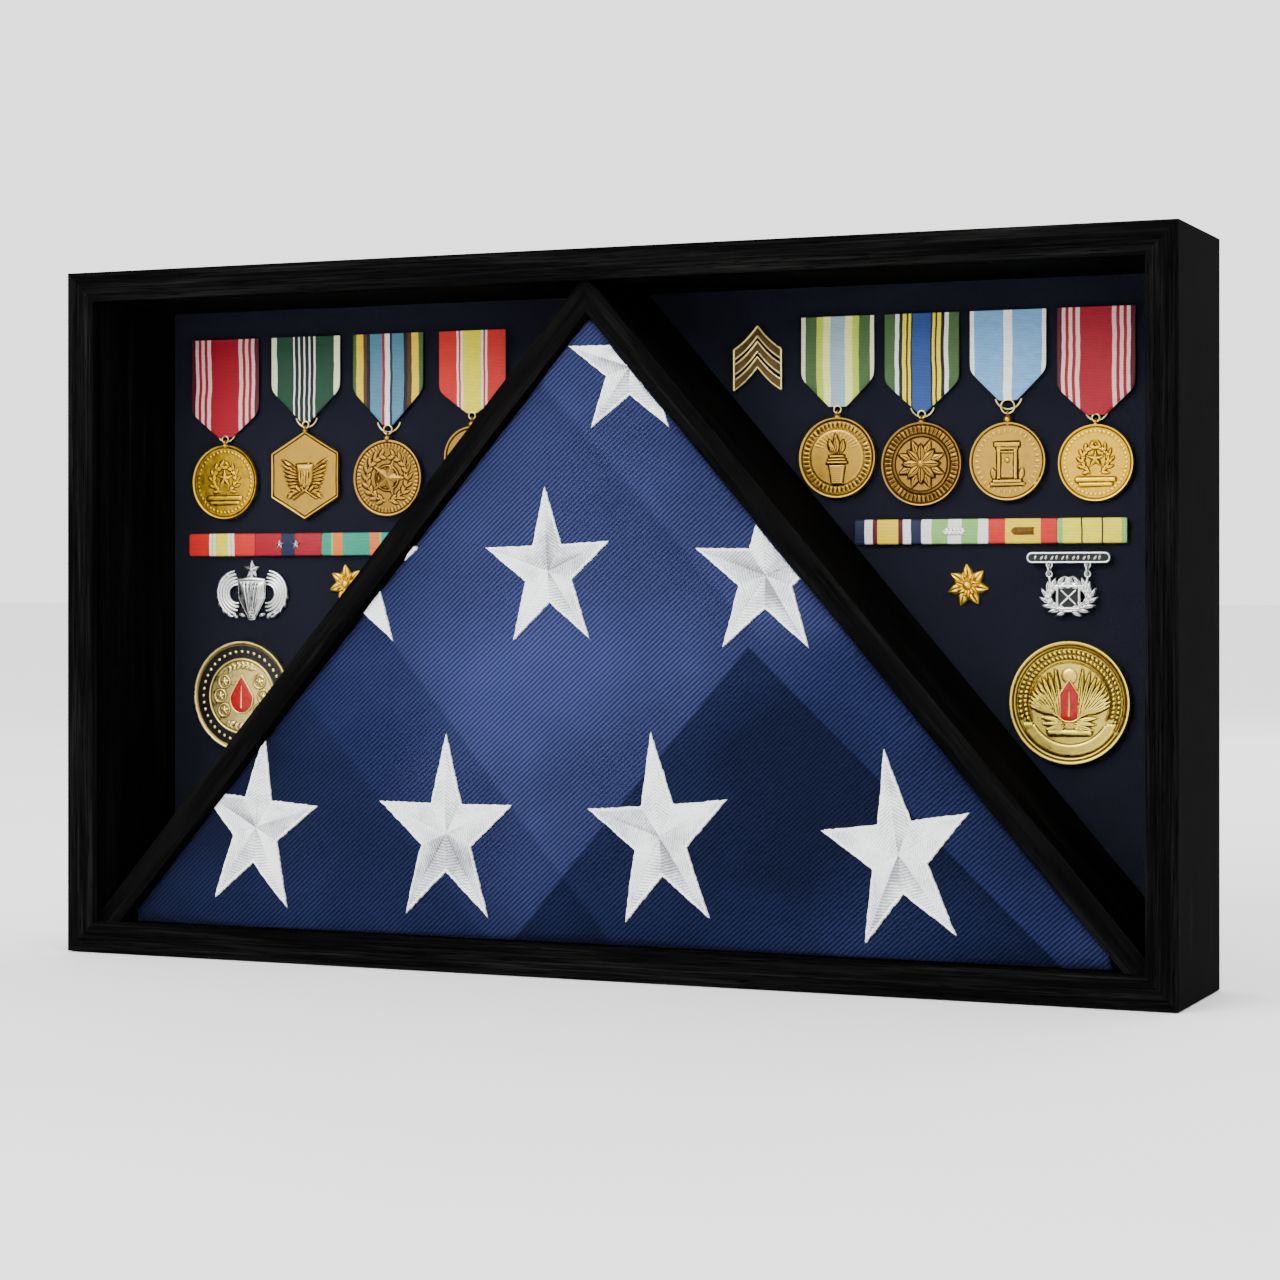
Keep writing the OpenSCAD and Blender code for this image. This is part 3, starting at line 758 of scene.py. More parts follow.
def plate(parts, centre, outline, rim_y, back_y, strike, rings=60, segments=240, recess=0.5, kind=0):
    """A struck plate facing the front. strike(relief) draws on a plane recess behind the rim."""
    # A tenth of a step off the axes: Pointiness misreads a spoke on which x + z stays the same.
    angles = (np.arange(segments) + 0.1) * 2 * math.pi / segments
    reach = outline(angles)[None, :]
    share = np.linspace(0, 1, rings)[:, None]
    x, z = share * reach * np.cos(angles), share * reach * np.sin(angles)
    relief = Relief(x, z, (1 - share) * reach)
    strike(relief)
    front = np.stack([x, rim_y + recess - relief.height, z], -1)
    parts.grid(front[1:] + centre, kind, wrap=True, split=True)
    parts.cap(front[1] + centre, kind)
    rows = []
    for shrink, y in ((0, rim_y + recess - relief.height[-1]), (-0.25, rim_y + 0.3),
                      (-0.25, back_y - 0.3), (0, back_y), (0.4, back_y)):
        factor = 1 - shrink / reach[0]
        level = np.broadcast_to(y, (segments,))
        rows.append(np.stack([x[-1] * factor, level, z[-1] * factor], -1))
    parts.grid(np.array(rows) + centre, kind, wrap=True)
    parts.cap(np.array(rows[-1]) + centre, kind, flip=True)


# ---------------------------------------------------------------- the case: wood, glass, felt, hardware


def paint(node, material, bevel_mm=0.0):
    """Gives a CAD node its material, and eases its edges."""
    piece = nodes[node]
    piece.data.materials.clear()
    piece.data.materials.append(material)
    if bevel_mm:
        ease = piece.modifiers.new("eased edges", "BEVEL")
        ease.width = bevel_mm * MM
        ease.segments = 2
        ease.limit_method = "ANGLE"
        ease.angle_limit = math.radians(50)


def finish_case():
    rail = black_wood("rail_wood", 0)
    stile = black_wood("stile_wood", 90)
    for name, wood in (("top_rail", rail), ("bottom_rail", rail), ("left_stile", stile),
                       ("right_stile", stile)):
        paint(name, wood, 0.5)
    paint("left_divider", black_wood("left_divider_wood", DIVIDER_DEG), 0.5)
    paint("right_divider", black_wood("right_divider_wood", -DIVIDER_DEG), 0.5)
    paint("glass", clear_glass(), 0.3)
    paint("back_panel", panel_board(), 0.4)
    for name in ("corner_v_nails", "divider_nails", "hanger_nails", "mounting_pins"):
        paint(name, STEEL)
    paint("sawtooth_hangers", STEEL, 0.12)
    for name in ("ribbon_rail_left", "ribbon_rail_right"):
        paint(name, STEEL, 0.15)
    for number in range(1, 7):
        paint(f"turn_button_{number}", STEEL, 0.25)
    paint("wall_bumpers", black_rubber(), 0.8)
    paint("coin_pads", black_rubber(), 0.1)
    paint("medal_brooches", GOLD, 0.15)
    paint("suspension_rings", PALE_GOLD)


def add_felt():
    """The felt lining. It is a little larger than its CAD solid, to close the gap round it."""
    low, high = PANEL_LOW, PANEL_HIGH
    extra = 0.4
    x, z = np.meshgrid(np.linspace(low[0] - extra, high[0] + extra, 120),
                       np.linspace(low[2] - extra, high[2] + extra, 70))
    wave = 0.12 * np.sin(x / 21 + np.sin(z / 33)) * np.sin(z / 17 + np.cos(x / 41))
    parts = Parts()
    parts.cloth(np.stack([x, low[1] + 0.14 + wave, z], -1),
                np.stack([x, np.full_like(x, high[1] - 0.02), z], -1))
    felt = add_piece("felt_cloth", parts, [navy_felt()], "back_panel", ["felt_lining"])


def add_screws():
    """Pan-head screws with a cross recess. Their shanks stay as the CAD model has them."""
    parts = Parts()
    radius = 3.0
    back_y = box_mm("turn_button_screws")[1][1] - 1.2

    def strike(relief):
        dome = 0.75 * np.sqrt(np.clip(1 - (1 - relief.edge / radius) ** 2, 0, 1))
        arm = np.minimum(np.maximum(np.abs(relief.x) / 0.38, np.abs(relief.z) / 1.7),
                         np.maximum(np.abs(relief.z) / 0.38, np.abs(relief.x) / 1.7))
        relief.height = np.where(arm < 1, -0.25, dome)

    for number in range(1, 7):
        px, _, pz = joint_place(f"turn_button_{number}")
        head = Parts()
        plate(head, np.array([0, 0, 0]), round_outline(radius), -0.45, 0.75, strike, 24, 96, 0.3)
        points = np.array(head.points) * [1, -1, 1] + [px, back_y + 0.75, pz]
        parts.add(points, head.faces)
        lathe(parts, (px, back_y, pz), [(1.25, -13.4), (1.25, 0.1)], axis="y", count=20)
    add_piece("turn_button_screw_set", parts, [STEEL], "case", ["turn_button_screws"])


# ---------------------------------------------------------------- the flag

BUNDLE_INSET = 3.0
FILLING_MOST = 4.5
FILLING_FRAMES = 20
VOXEL = 5.0


def fold_height(x, z):
    """How proud of the lowest layer the flag's front cloth stands, in millimetres."""

    def step(line, soft=1.6):
        return 1 / (1 + np.exp(-np.clip(side_of(line, x, z) / soft * 3, -60, 60)))

    centre = step(CENTRE_LEFT) * (1 - step(DARK_RIGHT) * (1 - step(BAND_RIGHT)))
    height = 1.1 * centre
    height += 0.8 * (1 - step(OUTER_LEFT)) * (1 - step(CENTRE_LEFT))
    height += 0.7 * step(BAND_RIGHT) * step(UPPER_RIGHT, 4)
    height += 0.5 * step(DARK_RIGHT) * (1 - step(BAND_RIGHT)) * step(LOW_RIGHT)
    ripple = np.sin(x / 47 + z / 61) * np.sin(z / 38 - x / 83) + 0.4 * np.sin(x / 19 - z / 27)
    return height + 0.35 * ripple


def flag_prism(inset):
    """The closed triangular bundle before it is filled."""
    half = FLAG_HALF - inset * (1 + 1 / math.sin(math.radians(DIVIDER_DEG))) / SLOPE - inset
    low = FLAG_LOW[2] + inset
    outline = [(-half, low), (half, low), (0, low + half * SLOPE)]
    front, back = FLAG_LOW[1] + 2 * inset, FLAG_HIGH[1] - 2 * inset
    parts = Parts()
    parts.add([(x, y, z) for y in (front, back) for x, z in outline],
              [(0, 1, 2), (5, 4, 3), (0, 3, 4, 1), (1, 4, 5, 2), (2, 5, 3, 0)])
    return parts


def apply_modifiers(piece):
    graph = bpy.context.evaluated_depsgraph_get()
    mesh = bpy.data.meshes.new_from_object(piece.evaluated_get(graph))
    piece.modifiers.clear()
    piece.data = mesh


def fill_bundle(bundle, most_mm):
    """Cloth simulation: pressure fills the bundle, and no point may move further than most_mm."""
    start = points_of(bundle.data)
    cloth = bundle.modifiers.new("filling", "CLOTH").settings
    cloth.quality = 6
    cloth.mass = 0.25
    cloth.tension_stiffness = 20
    cloth.compression_stiffness = 20
    cloth.shear_stiffness = 8
    cloth.bending_stiffness = 1.5
    cloth.use_pressure = True
    cloth.uniform_pressure_force = 4
    cloth.effector_weights.gravity = 0
    for number in range(1, FILLING_FRAMES + 1):
        bpy.context.scene.frame_set(number)
    graph = bpy.context.evaluated_depsgraph_get()
    filled = bundle.evaluated_get(graph).to_mesh()
    moved = points_of(filled) - start
    bundle.modifiers.clear()
    bpy.context.scene.frame_set(1)
    distance = np.linalg.norm(moved, axis=1)[:, None] + 1e-9
    limit = most_mm * MM
    moved *= limit * np.tanh(distance / limit) / distance
    bundle.data.vertices.foreach_set("co", (start + moved).ravel())


def stretch_end(values, reach):
    """Draws out the far part of a row of coordinates, so that the furthest gets to reach."""
    share = values / values.max()
    return values * (1 + (reach / values.max() - 1) * np.clip((share - 0.6) / 0.4, 0, 1) ** 1.5)


def press_into_space(points, normals):
    """Presses the filled bundle into its corners, dividers and rail, and folds its front."""
    for side in (-1, 1):
        half = side * points[:, 0] > 0
        points[half, 0] = side * stretch_end(side * points[half, 0], FLAG_HALF - 3.5)
    points[:, 2] = FLAG_LOW[2] + stretch_end(points[:, 2] - FLAG_LOW[2], FLAG_HEIGHT - 3)
    slant = math.hypot(SLOPE, 1)
    walls = [(np.array([SLOPE, 0, 1]) / slant, FLAG_HALF * SLOPE / slant),
             (np.array([-SLOPE, 0, 1]) / slant, FLAG_HALF * SLOPE / slant),
             (np.array([0, 0, -1]), 0)]
    for away, reach in walls:
        gap = reach - (points - [0, 0, FLAG_LOW[2]]) @ away - 0.5
        share = np.clip((normals @ away - 0.15) / 0.45, 0, 1)
        points += (share * np.where(gap < 14, gap, 0))[:, None] * away
    front = np.clip((-normals[:, 1] - 0.25) / 0.4, 0, 1)
    middle_y = np.median(points[front > 0.9][:, 1])
    folded = FLAG_LOW[1] + 2.4 - fold_height(points[:, 0], points[:, 2])
    folded += 0.35 * np.clip(points[:, 1] - middle_y, -2, 6)
    points[:, 1] += front * (folded - points[:, 1])


def keep_in_space(points):
    """Holds the flag inside the space that its CAD solid has."""
    points[:, 1] = np.clip(points[:, 1], FLAG_LOW[1] + 0.3, FLAG_HIGH[1] - 0.3)
    points[:, 2] = np.maximum(points[:, 2], FLAG_LOW[2] + 0.2)
    side = np.clip(1 - (points[:, 2] - FLAG_LOW[2]) / FLAG_HEIGHT, 0, 1) * FLAG_HALF - 0.3
    points[:, 0] = np.clip(points[:, 0], -np.maximum(side, 0), np.maximum(side, 0))


def add_flag():
    bundle = add_piece("flag_bundle", flag_prism(BUNDLE_INSET), [flag_cloth()], "case",
                       ["folded_flag"])
    remesh = bundle.modifiers.new("even mesh", "REMESH")
    remesh.mode = "VOXEL"
    remesh.voxel_size = VOXEL * MM
    apply_modifiers(bundle)
    fill_bundle(bundle, FILLING_MOST)
    bundle.modifiers.new("smoother", "SUBSURF").levels = 1
    apply_modifiers(bundle)
    mesh = bundle.data
    points = points_of(mesh) / MM
    normals = np.array([v.normal for v in mesh.vertices])
    press_into_space(points, normals)
    edge_layers = np.clip(1 - np.abs(normals[:, 1]) / 0.25, 0, 1)
    points += normals * (edge_layers * 0.35 * np.sin(points[:, 1] * 2 * math.pi / 7))[:, None]
    keep_in_space(points)
    mesh.vertices.foreach_set("co", (points * MM).ravel())
    shade_smooth(mesh)
    mesh.update()
    return bundle


# Stars on the flag: (centre x, centre z, half-width scale, half-height scale, tilt in degrees).
STARS = [
    (22.0, 293.2, 34.2, 36.1, 0), (-21.0, 195.7, 35.0, 41.6, 2.5), (91.5, 193.2, 37.0, 42.3, 0),
    (-128.7, 194.7, 38.3, 41.7, 0), (-184.0, 66.3, 36.5, 48.5, -5), (-76.8, 66.2, 38.5, 50.0, 0),
    (37.5, 68.6, 38.0, 50.4, 5), (157.0, 64.2, 38.5, 49.5, 8)]


def star_outline(count_per_side=22, waist=0.375):
    """Points round a star of radius 1, with the fraction of the way along each straight side."""
    points, along = [], []
    for corner in range(10):
        a = math.radians(90 + 36 * corner)
        b = math.radians(90 + 36 * (corner + 1))
        ra, rb = (1, waist) if corner % 2 == 0 else (waist, 1)
        first = np.array([ra * math.cos(a), ra * math.sin(a)])
        second = np.array([rb * math.cos(b), rb * math.sin(b)])
        for i in range(count_per_side):
            share = i / count_per_side
            points.append(first + (second - first) * share)
            along.append((corner, share))
    return np.array(points), along


def stitch_place(flat, corner, rx, rz):
    """Where a point of a star lies among the stitches of its arm: (along U, along V)."""
    axis_turn = math.radians(90 + 72 * round((corner + corner % 2) / 2))
    axis = np.array([math.cos(axis_turn), math.sin(axis_turn)])
    forward = flat @ axis * rz
    sideways = abs(axis[0] * flat[1] - axis[1] * flat[0]) * rx
    return forward + 0.7 * sideways, sideways


def star_lift(share, tip_share):
    """How far a star's thread stands off the flag: share runs from its centre to its edge,
    and tip_share from the valley between two arms to the tip of one."""
    border = math.exp(-((share - 0.95) / 0.03) ** 2)
    crease = math.exp(-((1 - tip_share) / 0.10) ** 2) * (1 - share)
    valley = math.exp(-(tip_share / 0.12) ** 2) * (1 - share)
    puff = 0.75 + 0.45 * math.sin(math.pi * min(share / 0.9, 1)) - 0.55 * crease
    puff -= 0.35 * valley
    return max(0.05, (puff if share < 0.999 else 0.0) + 0.40 * border)


def cut_at_dividers(work, inset=1.0):
    """Cuts a star off where the flag's slanted sides end."""
    for side in (-1, 1):
        cut = Vector((side * (FLAG_HALF - inset), 0, FLAG_LOW[2]))
        away = Vector((side * SLOPE, 0, 1)).normalized()
        bmesh.ops.bisect_plane(work, geom=work.verts[:] + work.edges[:] + work.faces[:],
                               plane_co=cut, plane_no=away, clear_outer=True)


def lay_on_flag(work, surface, rise):
    """Lays a star on the flag's front, as proud of it as its rise says, and turns it to metres."""
    deepest, proudest = FLAG_LOW[1] + 3.2, FLAG_LOW[1] - 1.2
    for vert in work.verts:
        ray_start = Vector((vert.co.x * MM, -0.1, vert.co.z * MM))
        hit = surface.ray_cast(ray_start, Vector((0, 1, 0)))[0]
        y = min(hit.y / MM, deepest) if hit else deepest
        vert.co.y = max(y - vert[rise], proudest)
        vert.co *= MM


def add_star(number, place, surface, thread, bundle):
    """One embroidered star: satin edge, padded arms, creases from its centre to its tips."""
    cx, cz, rx, rz, tilt = place
    generator = np.random.default_rng(number)
    outline, along = star_outline()
    ragged = 1 + generator.uniform(-0.017, 0.017, len(outline))
    # Painted light and shade for each half-arm, as if its stitches face the light their own way.
    facet_shades = generator.uniform(-1, 0.6, 10)
    outline = outline * ragged[:, None]
    rings = np.concatenate([np.linspace(0, 0.86, 13)[1:], np.linspace(0.88, 1.0, 7)])
    turn = math.radians(tilt)
    work = bmesh.new()
    uv = work.loops.layers.uv.new("stitches")
    rise = work.verts.layers.float.new("rise")
    reach = work.verts.layers.float.new("reach")
    facet = work.faces.layers.float.new("facet")
    grid, maps = [], {}
    middle = work.verts.new((cx, 0, cz))
    maps[middle] = (0.0, 0.0)
    lift = {middle: 0.75}
    for share in rings:
        row = []
        for (corner, part), point in zip(along, outline):
            flat = point * share
            x = rx * flat[0] * math.cos(turn) - rz * flat[1] * math.sin(turn)
            z = rx * flat[0] * math.sin(turn) + rz * flat[1] * math.cos(turn)
            vert = work.verts.new((cx + x, 0, cz + z))
            maps[vert] = stitch_place(flat, corner, rx, rz)
            vert[reach] = share
            lift[vert] = star_lift(share, part if corner % 2 else 1 - part)
            row.append(vert)
        grid.append(row)
    count = len(outline)
    faces = []
    for j in range(count):
        k = (j + 1) % count
        sector = [work.faces.new((middle, grid[0][k], grid[0][j]))]
        for inner, outer in zip(grid, grid[1:]):
            sector.append(work.faces.new((inner[j], inner[k], outer[k], outer[j])))
        for face in sector:
            face[facet] = facet_shades[along[j][0]]
        faces += sector
    for vert, height in lift.items():
        vert[rise] = height
    for face in faces:
        for loop in face.loops:
            loop[uv].uv = maps[loop.vert]
    cut_at_dividers(work)
    lay_on_flag(work, surface, rise)
    sew_on(f"flag_star_{number}", work, thread, bundle)


def sew_on(name, work, thread, bundle):
    """Makes a star's finished mesh a piece of thread on the bundle."""
    mesh = bpy.data.meshes.new(name)
    bmesh.ops.recalc_face_normals(work, faces=work.faces)
    if work.faces[0].normal.y > 0:
        bmesh.ops.reverse_faces(work, faces=work.faces)
    work.to_mesh(mesh)
    work.free()
    shade_smooth(mesh)
    mesh.materials.append(thread)
    star = link_new(mesh.name, mesh)
    backing = star.modifiers.new("backing", "SOLIDIFY")
    backing.thickness = 0.5 * MM
    backing.offset = -1
    star.parent = bundle


def add_stars(bundle):
    """The stars are embroidery on the bundle, so they are its children and go where it goes."""
    graph = bpy.context.evaluated_depsgraph_get()
    surface = BVHTree.FromObject(bundle, graph)
    thread = star_thread()
    for number, place in enumerate(STARS, 1):
        add_star(number, place, surface, thread, bundle)


# ---------------------------------------------------------------- medals

CRIMSON, DARK_CRIMSON, BLUSH = (0.31, 0.0005, 0.013), (0.085, 0.001, 0.008), (0.80, 0.50, 0.49)
WHITE, CREAM, RED = (0.82, 0.82, 0.78), (0.84, 0.84, 0.52), (0.56, 0.014, 0.010)
GREEN, DARK_GREEN, MOSS = (0.006, 0.048, 0.020), (0.003, 0.009, 0.006), (0.050, 0.105, 0.028)
YELLOW, LEMON, LIME = (0.84, 0.56, 0.004), (0.88, 0.86, 0.30), (0.47, 0.60, 0.045)
BROWN, BLACK, NAVY = (0.070, 0.022, 0.006), (0.005, 0.005, 0.006), (0.006, 0.010, 0.045)
SKY, STEEL_BLUE, BLUE = (0.14, 0.32, 0.56), (0.070, 0.200, 0.290), (0.018, 0.055, 0.230)
PALE_BLUE, SUN = (0.30, 0.43, 0.52), (0.84, 0.70, 0.010)
ORANGE, TEAL, LEAF = (0.70, 0.15, 0.020), (0.012, 0.260, 0.160), (0.22, 0.45, 0.12)


def mirrored(stripes):
    """Completes a stripe list that runs from the left edge to just past the middle."""
    ends = [0.0] + [end for end, _ in stripes]
    colours = [colour for _, colour in stripes]
    right = [(1 - ends[i], colours[i]) for i in range(len(stripes) - 2, -1, -1)]
    return stripes[:-1] + [(1 - ends[-2], colours[-1])] + right


GOOD_RED = mirrored([
    (0.055, DARK_CRIMSON), (0.105, BLUSH), (0.145, CRIMSON), (0.195, BLUSH), (0.235, CRIMSON),
    (0.290, BLUSH), (0.71, CRIMSON)])
WHITE_LINES = [(0.085, CREAM), (0.315, GREEN), (0.325, DARK_GREEN)]
for line in range(5):
    WHITE_LINES += [(0.350 + 0.074 * line, WHITE), (0.399 + 0.074 * line, DARK_GREEN)]
WHITE_LINES = WHITE_LINES[:-1] + [(0.915, GREEN), (1.0, CREAM)]
SERVICE_BLUE = [
    (0.05, MOSS), (0.15, YELLOW), (0.20, BROWN), (0.25, BLACK), (0.42, STEEL_BLUE),
    (0.46, CRIMSON), (0.53, WHITE), (0.565, NAVY), (0.73, STEEL_BLUE), (0.78, BLACK),
    (0.84, BROWN), (0.94, YELLOW), (1.0, MOSS)]
RED_YELLOW = mirrored([
    (0.27, RED), (0.30, WHITE), (0.33, RED), (0.36, WHITE), (0.64, SUN)])
PALE_GREEN = mirrored([
    (0.055, CREAM), (0.21, MOSS), (0.30, LIME), (0.40, LEMON), (0.60, PALE_BLUE)])
GREEN_BLUE = mirrored([
    (0.14, MOSS), (0.195, WHITE), (0.24, BLACK), (0.29, SUN), (0.32, BROWN), (0.355, SUN),
    (0.375, BLACK), (0.625, BLUE)])
SKY_WHITE = mirrored([(0.055, WHITE), (0.445, SKY), (0.555, WHITE)])

RIBBON_STRIPES = [GOOD_RED, WHITE_LINES, SERVICE_BLUE, RED_YELLOW, PALE_GREEN, GREEN_BLUE,
                  SKY_WHITE, GOOD_RED]


def ribbon_half_width(drop, width, shoulder, tip, tip_width):
    """Half the width of a medal ribbon at a drop below its top, with eased shoulders."""
    soft = 2.2
    straight = width / 2
    slope = (width - tip_width) / 2 / (tip - shoulder)
    past = drop - shoulder
    eased = soft * np.log1p(np.exp(np.clip(past / soft * 2, -40, 40))) / 2
    return np.maximum(straight - slope * eased, tip_width / 2 - 0.4)


def add_ribbon(number, stripes):
    """A ribbon folded through its ring: it hangs down in front and runs back up behind."""
    node = f"ribbon_{number}"
    low, high = box_mm(node)
    centre, width, tip = (low[0] + high[0]) / 2, high[0] - low[0], high[2] - low[2]
    points = points_of(nodes[node].data) / MM
    tip_width = np.ptp(points[points[:, 2] < low[2] + 0.02][:, 0])
    wide = points[points[:, 0] > high[0] - 0.02]
    shoulder = high[2] - wide[:, 2].min()
    rows, columns = 70, 41
    drops = np.linspace(0, tip, rows)
    half = ribbon_half_width(drops, width, shoulder, tip, tip_width)[:, None]
    across = np.linspace(-1, 1, columns)[None, :]
    x = centre + half * across
    z = np.broadcast_to(RIBBON_TOP - drops[:, None], x.shape)
    phase = number * 1.7
    swell = 0.20 * np.sin(z / 9.5 + phase) * np.cos(across * 1.9 + phase / 2)
    swell = swell - 0.30 * np.exp(-((drops[:, None] - shoulder) / 5) ** 2) * np.abs(across)
    roll = 0.35 * np.clip(np.abs(across) - 0.86, 0, 1) / 0.14
    front_y = low[1] + 0.15 + 0.25 + swell * 0.6 + roll
    back_y = high[1] - 0.15 + swell * 0.1 - roll * 0.3
    thread = 0.42
    parts = Parts()
    layers = ((front_y, front_y + thread), (back_y - thread, back_y))
    for outer, inner in layers:
        sheet_front = np.stack([x, np.broadcast_to(outer, x.shape), z], -1)
        sheet_back = np.stack([x, np.broadcast_to(inner, x.shape), z], -1)
        parts.cloth(sheet_front, sheet_back)
    material = striped_ribbon(f"ribbon_cloth_{number}", centre, width, stripes,
                              0.35 if number == 7 else 0.0)
    ribbon = add_piece(f"medal_ribbon_{number}", parts, [material], "back_panel",
                       [node])


def add_ribbon_wires():
    """Round wires behind the ribbons' points, which the ribbons are folded over."""
    parts = Parts()
    for number, radius in ((1, 5.4), (2, 6.4), (3, 6.8), (6, 6.0), (7, 6.6), (8, 5.4)):
        x, _, z = joint_place(f"pendant_{number}")
        centre = (x, FELT_Y - 1.05, z - 1.2 + radius)
        sweep(parts, circle_path(centre, radius, "xz", 30, 195, 150), 0.42)
    add_piece("ribbon_wires", parts, [PALE_GOLD], "back_panel")


def strike_plinth(r):
    """A wreath standing on a plinth, inside a ring of beads."""
    r.rim(1.0, 0.5)
    r.beads(16.2, 44, 0.5, 0.22)
    r.bar((-9.5, -8.6), (9.5, -8.6), 1.3, 0.55)
    r.bar((-8, -11), (8, -11), 1.0, 0.42)
    r.wreath((0, 1.5), 7.2, -70, 85, 6, 4.0, 0.6)
    r.star((0, 2.0), 5.4, 0.95)


def strike_shield(r):
    """A shield with a spray of leaves to each side and two crossed sprigs under it."""
    r.rim(1.1, 0.55)
    r.raise_to(np.clip((r.edge - 1.1) / 0.5, 0, 1) * 0.08)
    for side in (-1, 1):
        for i in range(7):
            r.leaf((side * 4.2, 2.6 - 1.35 * i), 90 - side * (58 + 7 * i), 11.8 - 1.1 * i, 1.7, 0.85)
        for i in range(5):
            r.leaf((side * (0.8 + 1.5 * i), -8.4 - 0.3 * i), 90 - side * (20 + 26 * i), 4.8, 1.6, 0.75)
        r.bar((-side * 2.5, -6.4), (side * 7.0, -12.2), 0.45, 0.65)
    shield = np.maximum(np.abs(r.x) / 5.0, np.abs(r.z + 0.5) / 6.5)
    shield = np.where(r.z < -0.5, np.hypot(r.x / 5.0, (r.z + 0.5) / 6.5), shield)
    r.raise_to(0.95 * np.sqrt(np.clip((1 - shield) * 3.2, 0, 1)))
    r.height += 0.22 * (np.sin(r.x * 2 * math.pi / 1.6) > 0.2) * (shield < 0.72) * (r.z < 2)


def strike_star(r):
    """A five-pointed star over a laurel ring."""
    r.rim(1.2, 0.45)
    r.dashes(16.8, 54, 1.6, 0.28, 0.25)
    r.wreath((0, 0), 11.8, -85, 80, 9, 4.6, 0.55)
    r.star((0.5, 0), 10.5, 1.3, turn=72)
    r.ridge(np.abs(np.hypot(r.x, r.z) - 6.4), 0.35, 0.5)


def strike_small_star(r):
    r.rim(1.1, 0.5)
    r.beads(12.6, 36, 0.45, 0.25)
    r.star((0, 0), 8.5, 1.0)
    r.wreath((0, 0), 9.8, -80, 80, 6, 3.2, 0.4)


def strike_torch(r):
    """A plain torch with rays, inside a border of strokes."""
    r.rim(1.1, 0.6)
    r.raise_to(0.22 * np.clip((13.6 - np.hypot(r.x, r.z)) / 0.4, 0, 1))
    r.dashes(15.9, 46, 2.1, 0.32, 0.42)
    for i in range(13):
        turn = math.radians(20 + 140 * i / 12)
        r.bar((7.5 * math.cos(turn), 3 + 6 * math.sin(turn)),
              (12 * math.cos(turn), 3 + 9.2 * math.sin(turn)), 0.2, 0.36)
    for level, half in ((-2.4, 4.6), (-1.0, 4.0), (0.6, 3.2)):
        r.bar((-half, level), (half, level), 0.85, 1.1)
    for i in range(9):
        half = 3.4 - 0.16 * i
        r.bar((-half, -4.2 - i), (half, -4.2 - i), 0.9, 0.85)
    for x, lean, size in ((-1.9, 14, 8.0), (0.2, 4, 10.5), (2.0, -12, 7.6), (-0.6, 24, 7.0)):
        r.leaf((x, 1.4), 90 + lean, size, 3.4, 1.15)


def strike_rosette(r):
    """An eight-leaved rosette in a raised ring, with a border of strokes."""
    r.rim(1.0, 0.6)
    r.dashes(16.4, 50, 2.3, 0.34, 0.5)
    r.arc(13.6, 0.45, 0.55)
    for i in range(8):
        r.leaf((0, 0), 45 * i + 22, 12.0, 4.4, 0.7)
    for i in range(8):
        r.leaf((0, 0), 45 * i, 9.5, 4.6, 1.1)
    r.beads(6.3, 16, 0.7, 0.9)
    r.dot(0, 0, 2.6, 1.3)


def strike_gate(r):
    """A plain gateway on steps, inside faint strokes."""
    r.rim(1.0, 0.5)
    r.dashes(15.6, 34, 1.5, 0.24, 0.16)
    r.box((-6.6, 7.4), (6.6, 9.6), 0.85)
    r.box((-5.6, 5.8), (5.6, 7.6), 0.6)
    for side in (-1, 1):
        r.box((min(side * 3.4, side * 5.2), -9), (max(side * 3.4, side * 5.2), 6), 0.75)
        r.leaf((side * 6.6, -9.5), 90 - side * 12, 6.5, 2.6, 0.45)
    r.box((-3.2, -8), (3.2, 4.8), 0.25)
    r.bar((-3.2, 4.8), (3.2, 4.8), 0.5, 0.55)
    r.box((-7.4, -10.8), (7.4, -9.2), 0.7)
    r.box((-8.8, -12.2), (8.8, -10.8), 0.5)
    r.dot(0, 0.5, 1.3, 0.5)


PENDANTS = [
    (strike_plinth, GOLD, "gold_metal"), (strike_shield, ANTIQUE_GOLD, "gold_metal"),
    (strike_star, BRONZE, "bronze_metal"), (strike_small_star, BRONZE, "bronze_metal"),
    (strike_torch, ANTIQUE_GOLD, "gold_metal"), (strike_rosette, BRONZE, "bronze_metal"),
    (strike_gate, ANTIQUE_GOLD, "gold_metal"), (strike_plinth, GOLD, "gold_metal")]


